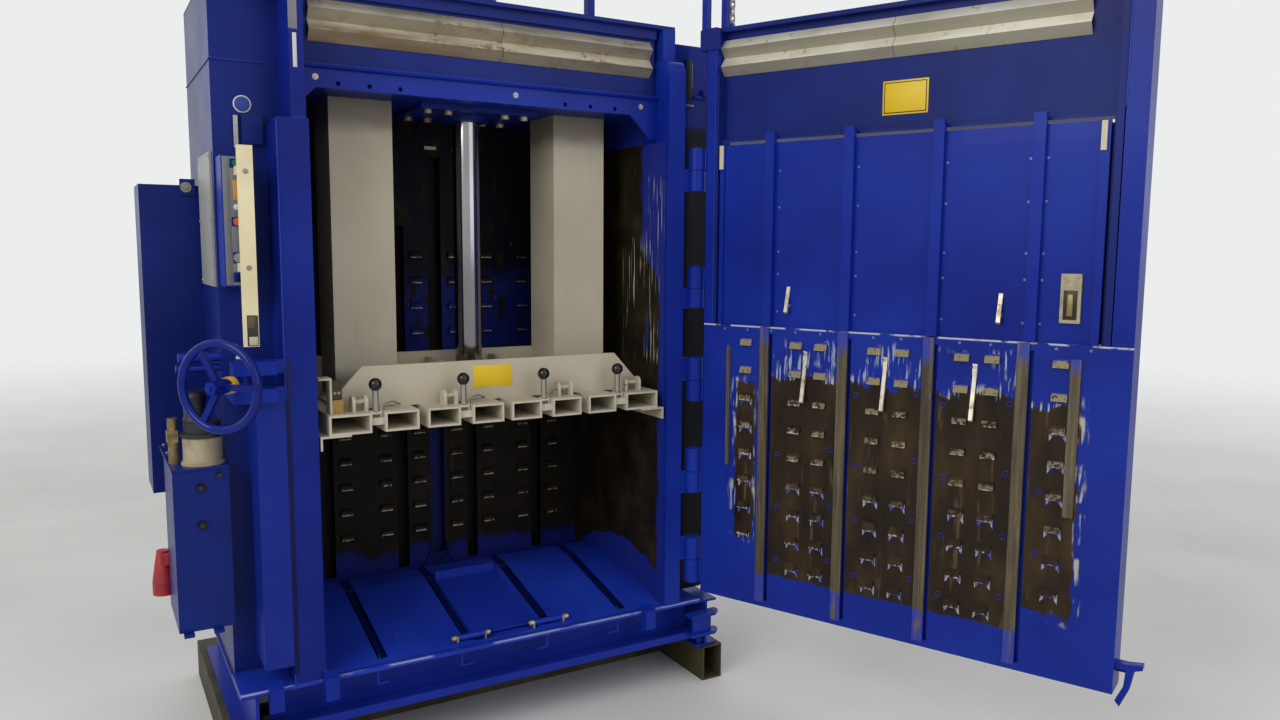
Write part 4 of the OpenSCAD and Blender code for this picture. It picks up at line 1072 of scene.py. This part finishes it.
class BALER_OT_lines(bpy.types.Operator):
    """Adds the wires, the pump's hose and the chain"""

    bl_idname = "baler.lines"
    bl_label = "Wires and chain"

    def execute(self, context):
        tree = swept_tree()
        # Drawn spring wire: bright, clouded with grey along its length
        wire = finish(
            "spring_wire", ["#7b776c", "#9d998c"], 12, (), (0.25, 0.4), (1.0, 0.01), 0.8,
            slot="rail_steel")
        bends = ((26, 40, 2), (26, 40, 20), (58, 52, 24), (84, 60, 12), (84, 88, 8), (40, 92, 4))
        loops = [[(x + dx, y, TUBE_TOP + z) for dx, y, z in bends] for x in LEVERS]
        sizes = {"Radius": 2.2 * MM, "Bend": 9 * MM, "Step": 4 * MM, "Ripple": 0.0, "Sides": 10}
        grown("strap_wires", tree, loops, sizes, wire, "platen")

        x, y, z = MOTOR
        hose = [(x + 1, y, z), (x + 1, y, z + 40), (x + 1, y + 55, z + 80), (SIDE_X + 1, y + 85, z + 80)]
        sizes = {"Radius": 6 * MM, "Bend": 24 * MM, "Step": 8 * MM, "Ripple": 0.0, "Sides": 14}
        rubber = sheet("black_rubber", "black_plastic", "#121211", (0.5, 0.62), darker="#2b2a27")
        grown("pump_hose", tree, [hose], sizes, rubber)

        sizes = {"Pitch": 22 * MM, "Width": 15 * MM, "Wire": 2.6 * MM}
        chain = [(112, -40, 2640), (112, -40, 2386)]
        grown("flap_chain", chain_tree(), [chain], sizes, wire, "door")
        hangers = [((90, -46, 2636), (118, -34, 2646), 1.5), ((104, -46, 2378), (120, -34, 2390), 1.5)]
        blocks("chain_hangers", hangers, blue("enamelled_hanger"), "door")
        return {"FINISHED"}


class BALER_OT_stage(bpy.types.Operator):
    """Lays the floor, the light and the camera"""

    bl_idname = "baler.stage"
    bl_label = "Stage"

    def execute(self, context):
        scene = context.scene
        look = scene.baler_stage
        shot = scene.baler_camera
        scene.view_settings.view_transform = "Standard"
        world = bpy.data.worlds.new("even_light")
        world.use_nodes = True
        tree = world.node_tree
        tree.nodes.clear()
        plain = add(tree, "ShaderNodeBackground", {"Color": colour("#ffffff"), "Strength": look.fill})
        seen = add(tree, "ShaderNodeBackground", {"Color": colour(look.sky), "Strength": 1.0})
        ray = add(tree, "ShaderNodeLightPath").outputs
        rays = [ray["Is %s Ray" % kind] for kind in ("Camera", "Glossy", "Transmission")]
        shown = maths(tree, "MAXIMUM", *rays)
        mix = add(tree, "ShaderNodeMixShader", links={0: shown, 1: plain, 2: seen})
        add(tree, "ShaderNodeOutputWorld", links={"Surface": mix})
        scene.world = world

        mesh = bpy.data.meshes.new("floor")
        far = FLOOR_REACH
        corners = [(-far, -far, 0), (far, -far, 0), (far, far, 0), (-far, far, 0)]
        mesh.from_pydata(corners, [], [(0, 1, 2, 3)])
        floor = bpy.data.objects.new("floor", mesh)
        scene.collection.objects.link(floor)
        # Plain matt floor that fades into the background's colour, so that no horizon shows
        ground = finish(
            "plain_floor", [look.floor, "#e4e4e0"], 900, (), (0.7, 0.8), (3.0, 0.02), specular=0.2)
        tree = ground.tree
        away = add(tree, "ShaderNodeVectorMath", links={0: ground.place}, operation="LENGTH")
        faded = ground.above(away.outputs["Value"], *FADE)
        haze = add(tree, "ShaderNodeEmission", {"Color": colour(look.sky), "Strength": 1.0})
        ray = add(tree, "ShaderNodeLightPath").outputs["Is Camera Ray"]
        fade = add(
            tree, "ShaderNodeMixShader",
            links={0: ground.both(faded, ray), 1: ground.shader, 2: haze})
        tree.links.new(fade.outputs[0], ground.output.inputs["Surface"])
        mesh.materials.append(ground.material)

        for name, place, size, power, aim in (
            ("key_lamp", (-4.6, -2.9, 4.0), 3.0, look.key, (0.4, -0.4, 1.2)),
            ("fill_lamp", (2.2, -5.4, 3.2), 3.4, look.key * 0.3, (0, 0, 1.2)),
        ):
            lamp = bpy.data.lights.new(name, "AREA")
            lamp.energy = power
            lamp.size = size
            holder = bpy.data.objects.new(name, lamp)
            holder.location = place
            holder.rotation_euler = (Vector(aim) - Vector(place)).to_track_quat("-Z", "Y").to_euler()
            scene.collection.objects.link(holder)

        lens = bpy.data.cameras.new("photo_camera")
        lens.sensor_width = 36.0
        lens.lens = shot.lens
        camera = bpy.data.objects.new("photo_camera", lens)
        camera.location = shot.place
        camera.rotation_euler = [math.radians(a) for a in shot.turn]
        scene.collection.objects.link(camera)
        scene.camera = camera
        return {"FINISHED"}


class BALER_PT_panel(bpy.types.Panel):
    """Lists the baler's sizes and steps"""

    bl_label = "Recycling Baler"
    bl_space_type = "VIEW_3D"
    bl_region_type = "UI"
    bl_category = "Baler"

    def draw(self, context):
        for group in GROUPS:
            owner = getattr(context.scene, group)
            for key in owner.__annotations__:
                self.layout.prop(owner, key)
        for step in STEPS:
            self.layout.operator(step.bl_idname)


STEPS = (
    BALER_OT_finishes, BALER_OT_plates, BALER_OT_screws, BALER_OT_welds, BALER_OT_wheel,
    BALER_OT_flashings_and_shade_strips, BALER_OT_lines, BALER_OT_stage)
GROUPS = {"baler_camera": BalerCamera, "baler_plates": BalerPlates, "baler_stage": BalerStage}
CLASSES = (*GROUPS.values(), *STEPS, BALER_PT_panel)


def register():
    """Adds the classes and the scene's settings."""
    for made in CLASSES:
        bpy.utils.register_class(made)
    for name, group in GROUPS.items():
        setattr(bpy.types.Scene, name, bpy.props.PointerProperty(type=group))


def unregister():
    """Takes them away again."""
    for name in GROUPS:
        delattr(bpy.types.Scene, name)
    for made in reversed(CLASSES):
        bpy.utils.unregister_class(made)


def main():
    """Dresses the frame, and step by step."""
    register()
    for step in STEPS:
        group, name = step.bl_idname.split(".")
        getattr(getattr(bpy.ops, group), name)()


if __name__ == "__main__":
    main()
